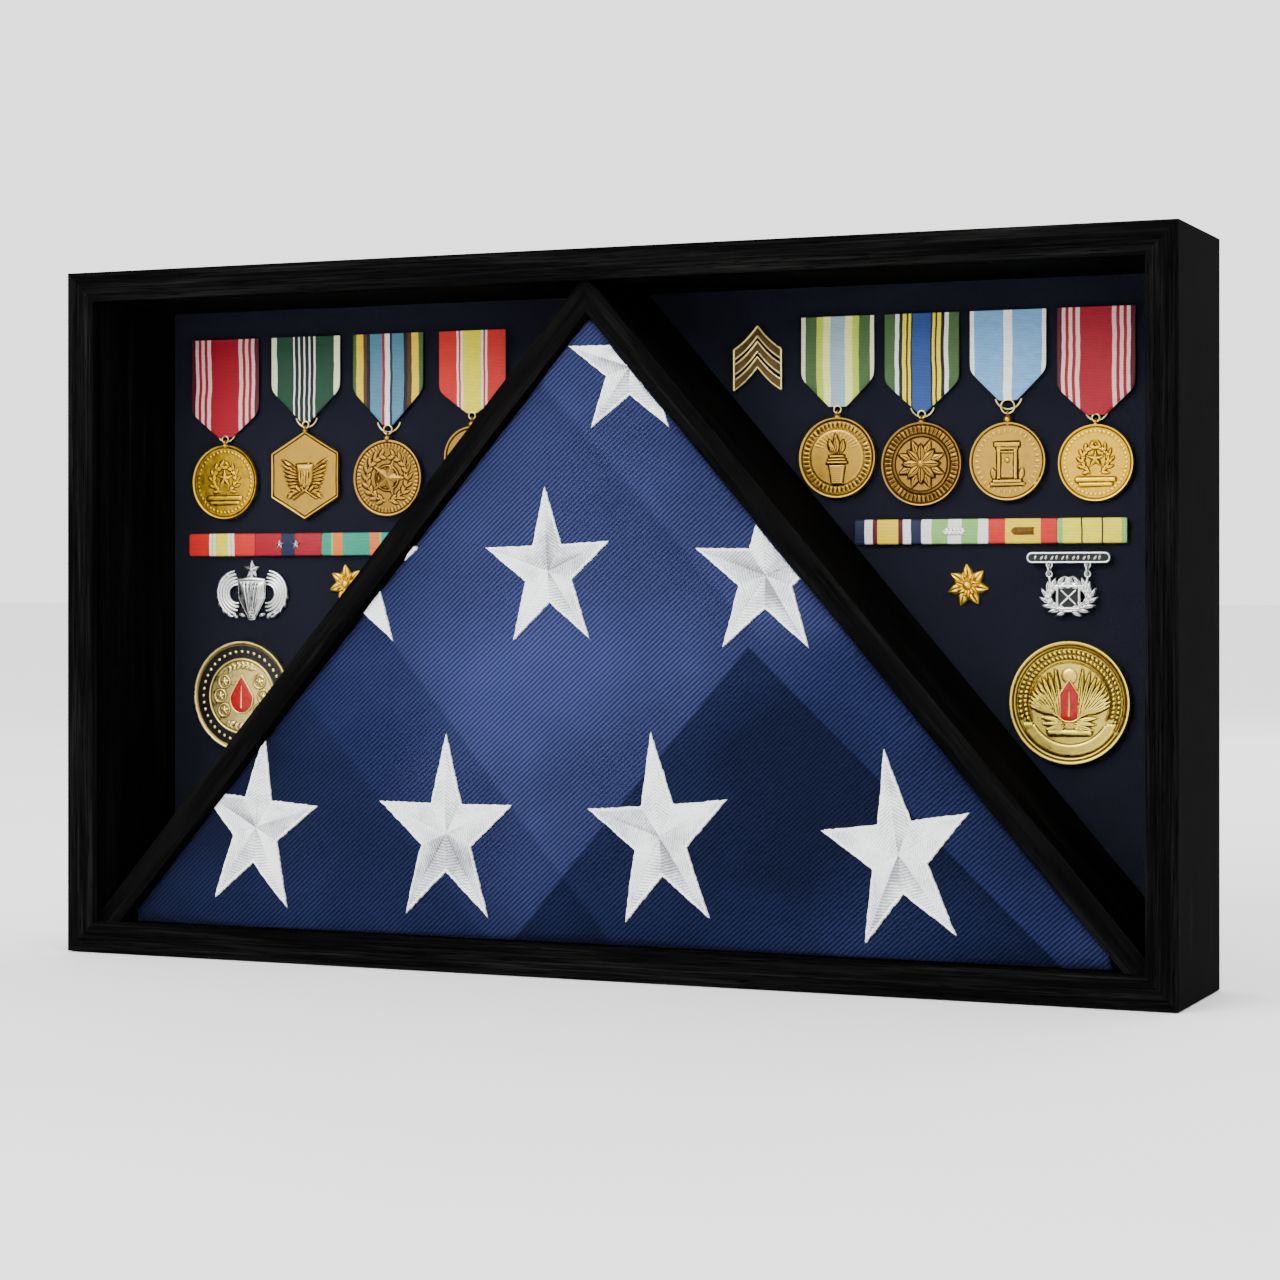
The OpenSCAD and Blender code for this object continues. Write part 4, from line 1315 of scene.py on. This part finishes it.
def add_pendant(number, strike, metal):
    """A struck disc, or a six-sided plate, with a ball and an eye on top."""
    node = f"pendant_{number}"
    low, high = box_mm(node)
    centre_x = joint_place(node)[0]
    six_sided = number == 2
    radius = (high[0] - low[0]) / 2 / (math.cos(math.radians(30)) if six_sided else 1)
    centre_z = low[2] + radius
    outline = polygon_outline(radius, 6) if six_sided else round_outline(radius)
    scale = radius / 19.5

    def scaled_strike(relief):
        relief.x, relief.z = relief.x / scale, relief.z / scale
        strike(relief)

    parts = Parts()
    plate(parts, np.array([centre_x, 0, centre_z]), outline, low[1] + 0.25, high[1] - 0.2,
          strike if six_sided else scaled_strike)
    middle_y = (low[1] + high[1]) / 2
    top = centre_z + radius
    eye_z = high[2] - 1.1 - 0.35
    ball_z = (top + eye_z - 1.4) / 2
    ball = max(1.4, min(2.1, (eye_z - top) / 2 + 0.8))
    profile = [(0.85, top - 1.2), (0.9, top - 0.2)]
    profile += [(max(0.7, ball * math.sin(a)), ball_z - ball * math.cos(a))
                for a in np.linspace(0.5, math.pi - 0.5, 9)]
    profile += [(0.75, eye_z - 1.0)]
    profile.sort(key=lambda p: p[1])
    lathe(parts, (centre_x, middle_y, 0), profile)
    sweep(parts, circle_path((centre_x, middle_y, eye_z), 1.1, "yz"), 0.42, closed=True)
    add_piece(f"medal_pendant_{number}", parts, [metal], node, [node], 50)


# ---------------------------------------------------------------- ribbon bars and their devices

SERVICE_LEFT = [
    mirrored([(0.31, RED), (0.35, WHITE), (0.37, YELLOW), (0.41, WHITE), (0.59, SUN)]),
    mirrored([(0.40, CRIMSON), (0.60, NAVY)]),
    mirrored([(0.13, TEAL), (0.16, LEAF), (0.30, ORANGE), (0.70, TEAL)])]
SERVICE_RIGHT = [
    mirrored([(0.15, NAVY), (0.27, WHITE), (0.34, DARK_CRIMSON), (0.66, YELLOW)]),
    mirrored([(0.16, WHITE), (0.40, LEAF), (0.60, WHITE)]),
    mirrored([(0.24, RED), (0.76, YELLOW)]),
    mirrored([(0.08, LEAF), (0.34, SUN), (0.365, BLACK), (0.635, SUN)])]


def rounded_slab(parts, low, high, radius, kind):
    """A cloth-covered slab whose long edges and ends are rounded."""
    steps = 5
    corner = np.linspace(0, math.pi / 2, steps)
    y0, y1, z0, z1 = low[1], high[1], low[2], high[2]
    loop = [(y0 + radius - radius * math.sin(a), z1 - radius + radius * math.cos(a)) for a in corner]
    loop += [(y0 + radius - radius * math.cos(a), z0 + radius - radius * math.sin(a)) for a in corner]
    loop += [(y1, z0), (y1, z1)]
    loop = np.array(loop)
    middle = loop.mean(0)
    rows = []
    ends = ((low[0], 1), (high[0], -1))
    for (x, inward), order in zip(ends, (1, -1)):
        shrink = [(0.0, 0.90), (0.25, 0.965), (0.7, 1.0)][::order]
        for offset, share in shrink:
            ring = middle + (loop - middle) * share
            rows.append(np.column_stack([np.full(len(ring), x + inward * offset), ring]))
    points = np.array(rows)
    parts.grid(points, kind, wrap=True)
    parts.cap(points[0], kind, flip=True)
    parts.cap(points[-1], kind)


def add_service_bar(side, stripe_lists):
    node = f"service_ribbons_{side}"
    low, high = box_mm(node)
    pitch = (high[0] - low[0]) / len(stripe_lists)
    parts = Parts()
    materials = []
    for i, stripes in enumerate(stripe_lists):
        start = low[0] + i * pitch
        rounded_slab(parts, (start + 0.08, low[1], low[2]), (start + pitch - 0.08, high[1], high[2]),
                     0.9, i)
        materials.append(striped_ribbon(f"service_{side}_{i + 1}", start + pitch / 2, pitch, stripes))
    bar = add_piece(f"service_bar_{side}", parts, materials, "back_panel", [node])


def add_devices():
    """Two small stars on the left bar, and a silver and a bronze sprig on the right bar."""
    low, high = box_mm("ribbon_devices")
    left_x, left_z = middle_of(*box_mm("service_ribbons_left"))
    right_low, right_high = box_mm("service_ribbons_right")
    right_z = middle_of(right_low, right_high)[1]
    pitch = (right_high[0] - right_low[0]) / 4
    parts = Parts()
    for side in (-1, 1):
        plate(parts, np.array([left_x + side * 5, 0, left_z]), star_shape(2.6), low[1] + 0.2,
              high[1], lambda r: r.star((0, 0), 2.6, 0.7), 10, 60, 0.1)
    for place, kind, count in ((1.5, 0, 5), (2.5, 1, 6)):
        x = right_low[0] + place * pitch
        for i in range(count):
            root = (x - 5.4 + i * 9.6 / count, right_z)
            for lean in (-28, 28):
                leaf(parts, root, lean, 3.6, 1.9, high[1] - 0.1, 0.75, kind)
        sweep(parts, [(x - 5.6, high[1] - 0.3, right_z), (x + 5.6, high[1] - 0.3, right_z)], 0.35, kind)
    add_piece("ribbon_device_set", parts, [SILVER, DARK_BRONZE], "back_panel",
              ["ribbon_devices"])


# ---------------------------------------------------------------- badges and coins


def add_chevron_pin():
    """Three chevrons, each a dark field between bright edges, joined at their outer ends."""
    low, high = box_mm("chevron_pin")
    centre_x, middle_z = middle_of(low, high)
    half = (high[0] - low[0]) / 2
    rise, step = 11.5, 7.6
    share = np.linspace(-1, 1, 41)
    sag = 1.1 * np.sin(np.abs(share) * math.pi)
    arm_z = rise * (1 - np.abs(share)) - rise / 2 - sag
    x = centre_x + half * 0.96 * share
    parts = Parts()
    for i in (-1, 0, 1):
        z = middle_z + i * step + arm_z
        rows = []
        for offset, y in ((-2.7, high[1]), (-2.7, low[1] + 0.6), (0, low[1] + 0.75),
                          (2.7, low[1] + 0.6), (2.7, high[1])):
            rows.append(np.stack([x, np.full_like(x, y), z + offset], 1))
        rows.append(rows[0])
        parts.grid(np.array(rows), 1)
        for offset, width in ((2.45, 0.5), (-2.45, 0.42)):
            path = np.stack([x, np.full_like(x, low[1] + 0.55), z + offset], 1)
            sweep(parts, path, width, sides=10)
    for side in (-1, 1):
        end_x = centre_x + side * half * 0.96
        z0 = middle_z - step - rise / 2 - 2.3
        z1 = middle_z + step - rise / 2 + 2.3
        sweep(parts, [(end_x, low[1] + 0.55, z0), (end_x, low[1] + 0.55, z1)], 0.6, sides=10)
    add_piece("chevron_badge", parts, [PALE_GOLD, DARK_METAL], "back_panel",
              ["chevron_pin"])


def strike_ribbed_shield(r):
    """A domed shield with ribs that run together towards its point."""
    r.raise_to(1.2 * np.sqrt(np.clip(r.edge / 4.0, 0, 1)))
    for x in (-4.8, -2.4, 0, 2.4, 4.8):
        r.bar((x, 8), (x * 0.25, -9), 0.3, 1.45)


def add_winged_badge():
    """A tapered shield between two curled wings of feathers, with a star above."""
    low, high = box_mm("winged_badge")
    cx, cz = (low[0] + high[0]) / 2, low[2] + 11.2
    front, back = low[1], high[1]
    parts = Parts()
    for side in (-1, 1):
        hole = (cx + side * 9.4, back - 0.6, cz + 2.4)
        for i, radius in enumerate((5.0, 6.7, 8.5, 10.4, 12.2)):
            start, sweep_deg = 100 - 4 * i, -(205 - 14 * i)
            path = circle_path(hole, radius, "xz", 30, start, sweep_deg)
            if side < 0:
                path[:, 0] = 2 * hole[0] - path[:, 0]
            path[:, 2] -= 0.10 * i * np.linspace(0, 1, 30) * radius * 0.25
            path[:, 0] -= side * 0.7 * i * np.linspace(0, 1, 30) ** 2
            taper = 1.05 * np.sin(np.linspace(0.35, math.pi - 0.25, 30)) ** 0.5
            sweep(parts, path, taper, sides=10)
        for i in range(9):
            turn = math.radians(70 - 21 * i)
            tip = (hole[0] + side * 10.2 * math.cos(turn), hole[2] + 10.2 * math.sin(turn) - 0.5)
            leaf(parts, tip, math.degrees(turn if side > 0 else math.pi - turn) - side * 62,
                 4.2, 2.2, back - 0.2, 1.5)
    plate(parts, np.array([cx, 0, cz]), shield_outline, front + 0.3, back, strike_ribbed_shield,
          30, 120, 0.3)
    sweep(parts, [(cx - 8.2, front + 0.5, cz + 9.6), (cx, front + 0.2, cz + 10.4),
                  (cx + 8.2, front + 0.5, cz + 9.6)], [0.9, 1.25, 0.9], sides=12)
    sweep(parts, [(cx, back - 0.8, cz + 9), (cx, back - 0.8, cz + 15)], 0.7)
    plate(parts, np.array([cx, 0, cz + 15.4]), star_shape(4.9), front + 0.4, back,
          lambda r: r.star((0, 0), 4.9, 1.0), 12, 80, 0.2)
    add_piece("winged_badge_relief", parts, [SILVER], "back_panel",
              ["winged_badge"], 50)


def shield_outline(angle):
    """A shield, wide at the top and pointed at the bottom, as its reach at each angle."""
    x, z = np.cos(angle), np.sin(angle)
    top = np.where(z > 0.05, 9.8 / np.maximum(z, 0.05), 1e3)
    flank = 7.8 / np.maximum(np.abs(x) - 0.56 * np.minimum(z, 0) - 0.05 * np.maximum(z, 0), 0.08)
    tail = np.where(z < -0.05, 11.2 / np.maximum(-z, 0.05), 1e3)
    return np.minimum(np.minimum(top, flank), tail)


def add_sprig_badge(side):
    """A small cluster of gold leaves around a domed centre."""
    node = f"gold_badge_{side}"
    low, high = box_mm(node)
    cx, cz = middle_of(low, high)
    reach = (high[0] - low[0]) / 2
    back = high[1]
    parts = Parts()
    for i in range(7):
        turn = 90 + 360 / 7 * i
        root = spoke(2.2, turn, (cx, cz))
        leaf(parts, root, turn, reach - 2.4, 5.4, back, 1.5, 0, 0.10)
    for i in range(7):
        turn = 90 + 360 / 7 * (i + 0.5)
        root = spoke(1.0, turn, (cx, cz))
        leaf(parts, root, turn, reach - 4.6, 3.6, back - 0.7, 1.7, 0, -0.08)
        ball = circle_path((cx, 0, cz), 4.4, "xz", 7)[i]
        lathe(parts, (ball[0], back - 2.1, ball[2]), [(0.3, -0.8), (0.75, -0.4), (0.85, 0), (0.6, 0.6)],
              axis="y", count=12)
    lathe(parts, (cx, back - 1.8, cz),
          [(0.5, -1.3), (1.6, -1.0), (2.3, -0.3), (2.6, 0.4), (2.6, 1.4)], axis="y", count=28)
    add_piece(f"sprig_badge_{side}", parts, [GOLD], "back_panel", [node], 50)


def add_hanging_badge():
    """A silver bar, and below it on two links an oval wreath with a dark square centre."""
    low, high = box_mm("hanging_badge_bar")
    cx, cz = (low[0] + high[0]) / 2, high[2] - 2.75
    half, back, front = (high[0] - low[0]) / 2, high[1], low[1]
    parts = Parts()
    ends = [(cx + s * (half - 2.75), 0, cz) for s in (1, -1)]
    border = np.concatenate([circle_path(ends[0], 2.2, "xz", 9, -90, 180),
                             circle_path(ends[1], 2.2, "xz", 9, 90, 180)])
    border[:, 1] = front + 0.55
    sweep(parts, border, 0.55, closed=True, sides=10)
    field = border.copy()
    field[:, 1] = front + 0.75
    parts.cap(field, 1)
    rim = np.array([border * [1, 0, 1] + [0, y, 0] for y in (front + 0.7, back)])
    parts.grid(rim, wrap=True)
    parts.cap(rim[-1], flip=True)
    for i in range(13):
        leaf(parts, (cx - 16.4 + 2.6 * i, cz - 1.1), 55 if i % 2 else 78, 2.4, 1.2, front + 0.8, 0.6)
    link_x = (box_mm("hanging_badge_links")[1][0] - 0.5) - cx
    eye_z = joint_place("hanging_badge")[2]
    middle_y = (front + back) / 2
    for side in (-1, 1):
        eye = (cx + side * link_x, middle_y, eye_z)
        sweep(parts, circle_path(eye, 1.35, "xz"), 0.45, closed=True)
    add_piece("hanging_badge_top_bar", parts, [SILVER, BLACK_ENAMEL], "back_panel",
              ["hanging_badge_bar"], 50)
    paint("hanging_badge_links", SILVER)
    add_hanging_wreath(cx, front, back, link_x)


def add_hanging_wreath(cx, front, back, link_x):
    """An oval wreath round a dark square, with an ear under each link."""
    low, high = box_mm("hanging_badge_wreath")
    cz = low[2] + 10.3
    middle_y = (front + back) / 2
    wreath = Parts()
    rings = ((10.4, 6.9, 18, 5.6, 1.5), (9.2, 5.8, 16, 4.4, 1.7))
    for ring, (rx, rz, count, size, rise) in enumerate(rings):
        for i in range(count):
            side = 1 if i < count / 2 else -1
            turn = math.radians(-90 + side * (180 * (i % (count // 2)) + 60) / (count / 2))
            root = (cx + rx * math.cos(turn), cz + rz * math.sin(turn))
            heading = math.degrees(
                math.atan2(rz * math.cos(turn) * side, -rx * math.sin(turn) * side))
            for lean in (-26, 26):
                leaf(wreath, root, heading + lean, size, size * 0.42, back - 0.1 - 0.2 * ring, rise)
    oval = circle_path((0, 0, 0), 1, "xz", 40) * [10.2, 1, 6.6] + [cx, back - 0.6, cz]
    sweep(wreath, oval, 0.8, closed=True)
    square = ((-1, -1), (1, -1), (1, 1), (-1, 1))
    frame_path = [(cx + a * 5.3, front + 0.5, cz + b * 5.3) for a, b in square]
    for i in range(4):
        sweep(wreath, [frame_path[i], frame_path[(i + 1) % 4]], 0.75, sides=8)
    wreath.add([(cx + a * 5.2, y, cz + b * 5.2) for y in (front + 0.7, back) for a, b in square],
               [(0, 1, 2, 3), (7, 6, 5, 4), (0, 4, 5, 1), (1, 5, 6, 2), (2, 6, 7, 3), (3, 7, 4, 0)], 1)
    for side in (-1, 1):
        cross_bar = [(cx - 3.6 * side, front + 0.6, cz - 3.4), (cx + 3.6 * side, front + 0.6, cz + 3.4)]
        sweep(wreath, cross_bar, 0.5, sides=8)
        ear_x = cx + side * link_x
        ear_z = high[2] - 1.8
        sweep(wreath, circle_path((ear_x, middle_y, ear_z), 1.35, "xz"), 0.45, closed=True)
        sweep(wreath, [(ear_x, middle_y, ear_z - 1.5), (ear_x - side * 0.8, middle_y, cz + 4.5)],
              [0.6, 0.9])
    add_piece("hanging_wreath", wreath, [SILVER, BLACK_ENAMEL], "hanging_badge",
              ["hanging_badge_wreath"], 50)


def strike_left_coin(r):
    """Beads on a black band round a field of small rosettes and sprigs."""
    r.rim(1.4, 0.9)
    r.arc(19.6, 0.6, 0.75)
    r.beads(23.7, 40, 0.75, 0.55)
    for turn in (35, 145, 180, 215, 325, 0):
        place = spoke(13.2, turn)
        r.arc(3.3, 0.4, 0.5, centre=place)
        r.star(place, 2.6, 0.7)
    r.sprig((0, 0), 16.3, 60, 120, 6, 3.0, 0.5)
    r.sprig((0, 0), 16.3, 240, 300, 6, 3.0, 0.5)


def strike_right_coin(r):
    """A ring of small beads, a plain banner and two sprays of leaves."""
    r.rim(1.4, 0.9)
    r.arc(26.6, 0.35, 0.7)
    r.beads(24.0, 40, 0.85, 0.75, -22, 202)
    r.beads(21.6, 40, 0.7, 0.62, -17.5, 206.5)
    r.arc(19.6, 0.3, 0.55, -25, 205)
    r.arc(22.6, 2.7, 0.62, 212, 328)
    r.height = np.where((np.abs(np.hypot(r.x, r.z) - 22.6) < 1.9) & (r.z < -10), 0.42, r.height)
    for side in (-1, 1):
        for i in range(9):
            lean = 90 - side * (6 + 8.0 * i)
            r.leaf((side * (4.0 + 0.35 * i), -9 + 0.4 * i), lean, 26 - 1.5 * i, 3.0, 1.05 - 0.04 * i)
        for i in range(4):
            r.leaf((side * 2, -9 - 0.8 * i), 90 - side * (80 + 12 * i), 12 - i, 2.4, 0.6)
    r.bar((-9.5, -14.2), (9.5, -14.2), 1.5, 0.6)
    r.dot(0, 12.5, 3.6, 0.5)


def add_coin(side, strike):
    """A struck coin with an enamelled lozenge at its centre."""
    node = f"coin_{side}"
    low, high = box_mm(node)
    cx, cz = middle_of(low, high)
    radius = (high[0] - low[0]) / 2
    parts = Parts()
    plate(parts, np.array([cx, 0, cz]), round_outline(radius), low[1], high[1], strike, 90, 300, 0.7)
    if side == "left":
        band = np.array([circle_path((cx, low[1] + 0.58, cz), r, "xz", 180) for r in (20.4, 27.0)])
        parts.grid(band, 2, wrap=True)
    turns = np.linspace(0, 2 * math.pi, 61)[:-1]
    wide = np.abs(np.cos(turns)) ** 0.9 * np.sign(np.cos(turns)) * 7.0
    level = np.abs(np.sin(turns))
    tall = np.where(np.sin(turns) > 0, 11.5 * level ** 1.6, -8.5 * level ** 0.9)
    pinch = np.where(tall > 0, (1 - np.clip(tall / 11.5, 0, 1)) ** 0.55, 1.0)
    rows = []
    for share, rise in ((1.0, 0.0), (0.96, 0.22), (0.7, 0.38), (0.35, 0.46), (0.05, 0.48)):
        ring = np.stack([cx + wide * pinch * share, np.full_like(wide, low[1] + 0.30 - rise),
                         cz - 0.5 + tall * share], 1)
        rows.append(ring)
    parts.grid(np.array(rows), 1, wrap=True)
    parts.cap(rows[-1], 1)
    parts.grid(np.array([rows[0] + [0, 0.4, 0], rows[0]]), 1, wrap=True)
    sweep(parts, rows[0], 0.5, closed=True)
    sweep(parts, [(cx, low[1], cz - 6.5), (cx, low[1], cz + 5.5)], [0.75, 0.15])
    metal = PALE_GOLD if side == "left" else COIN_GOLD
    add_piece(f"{side}_coin", parts, [metal, RED_ENAMEL, BLACK_ENAMEL], "back_panel",
              [node], 50)


# ---------------------------------------------------------------- build

add_camera()
add_studio()
finish_case()
add_felt()
add_screws()
add_stars(add_flag())
for i, stripes in enumerate(RIBBON_STRIPES, 1):
    add_ribbon(i, stripes)
add_ribbon_wires()
for i, (strike, metal, slot) in enumerate(PENDANTS, 1):
    add_pendant(i, strike, metal)
add_service_bar("left", SERVICE_LEFT)
add_service_bar("right", SERVICE_RIGHT)
add_devices()
add_chevron_pin()
add_winged_badge()
add_sprig_badge("left")
add_sprig_badge("right")
add_hanging_badge()
add_coin("left", strike_left_coin)
add_coin("right", strike_right_coin)
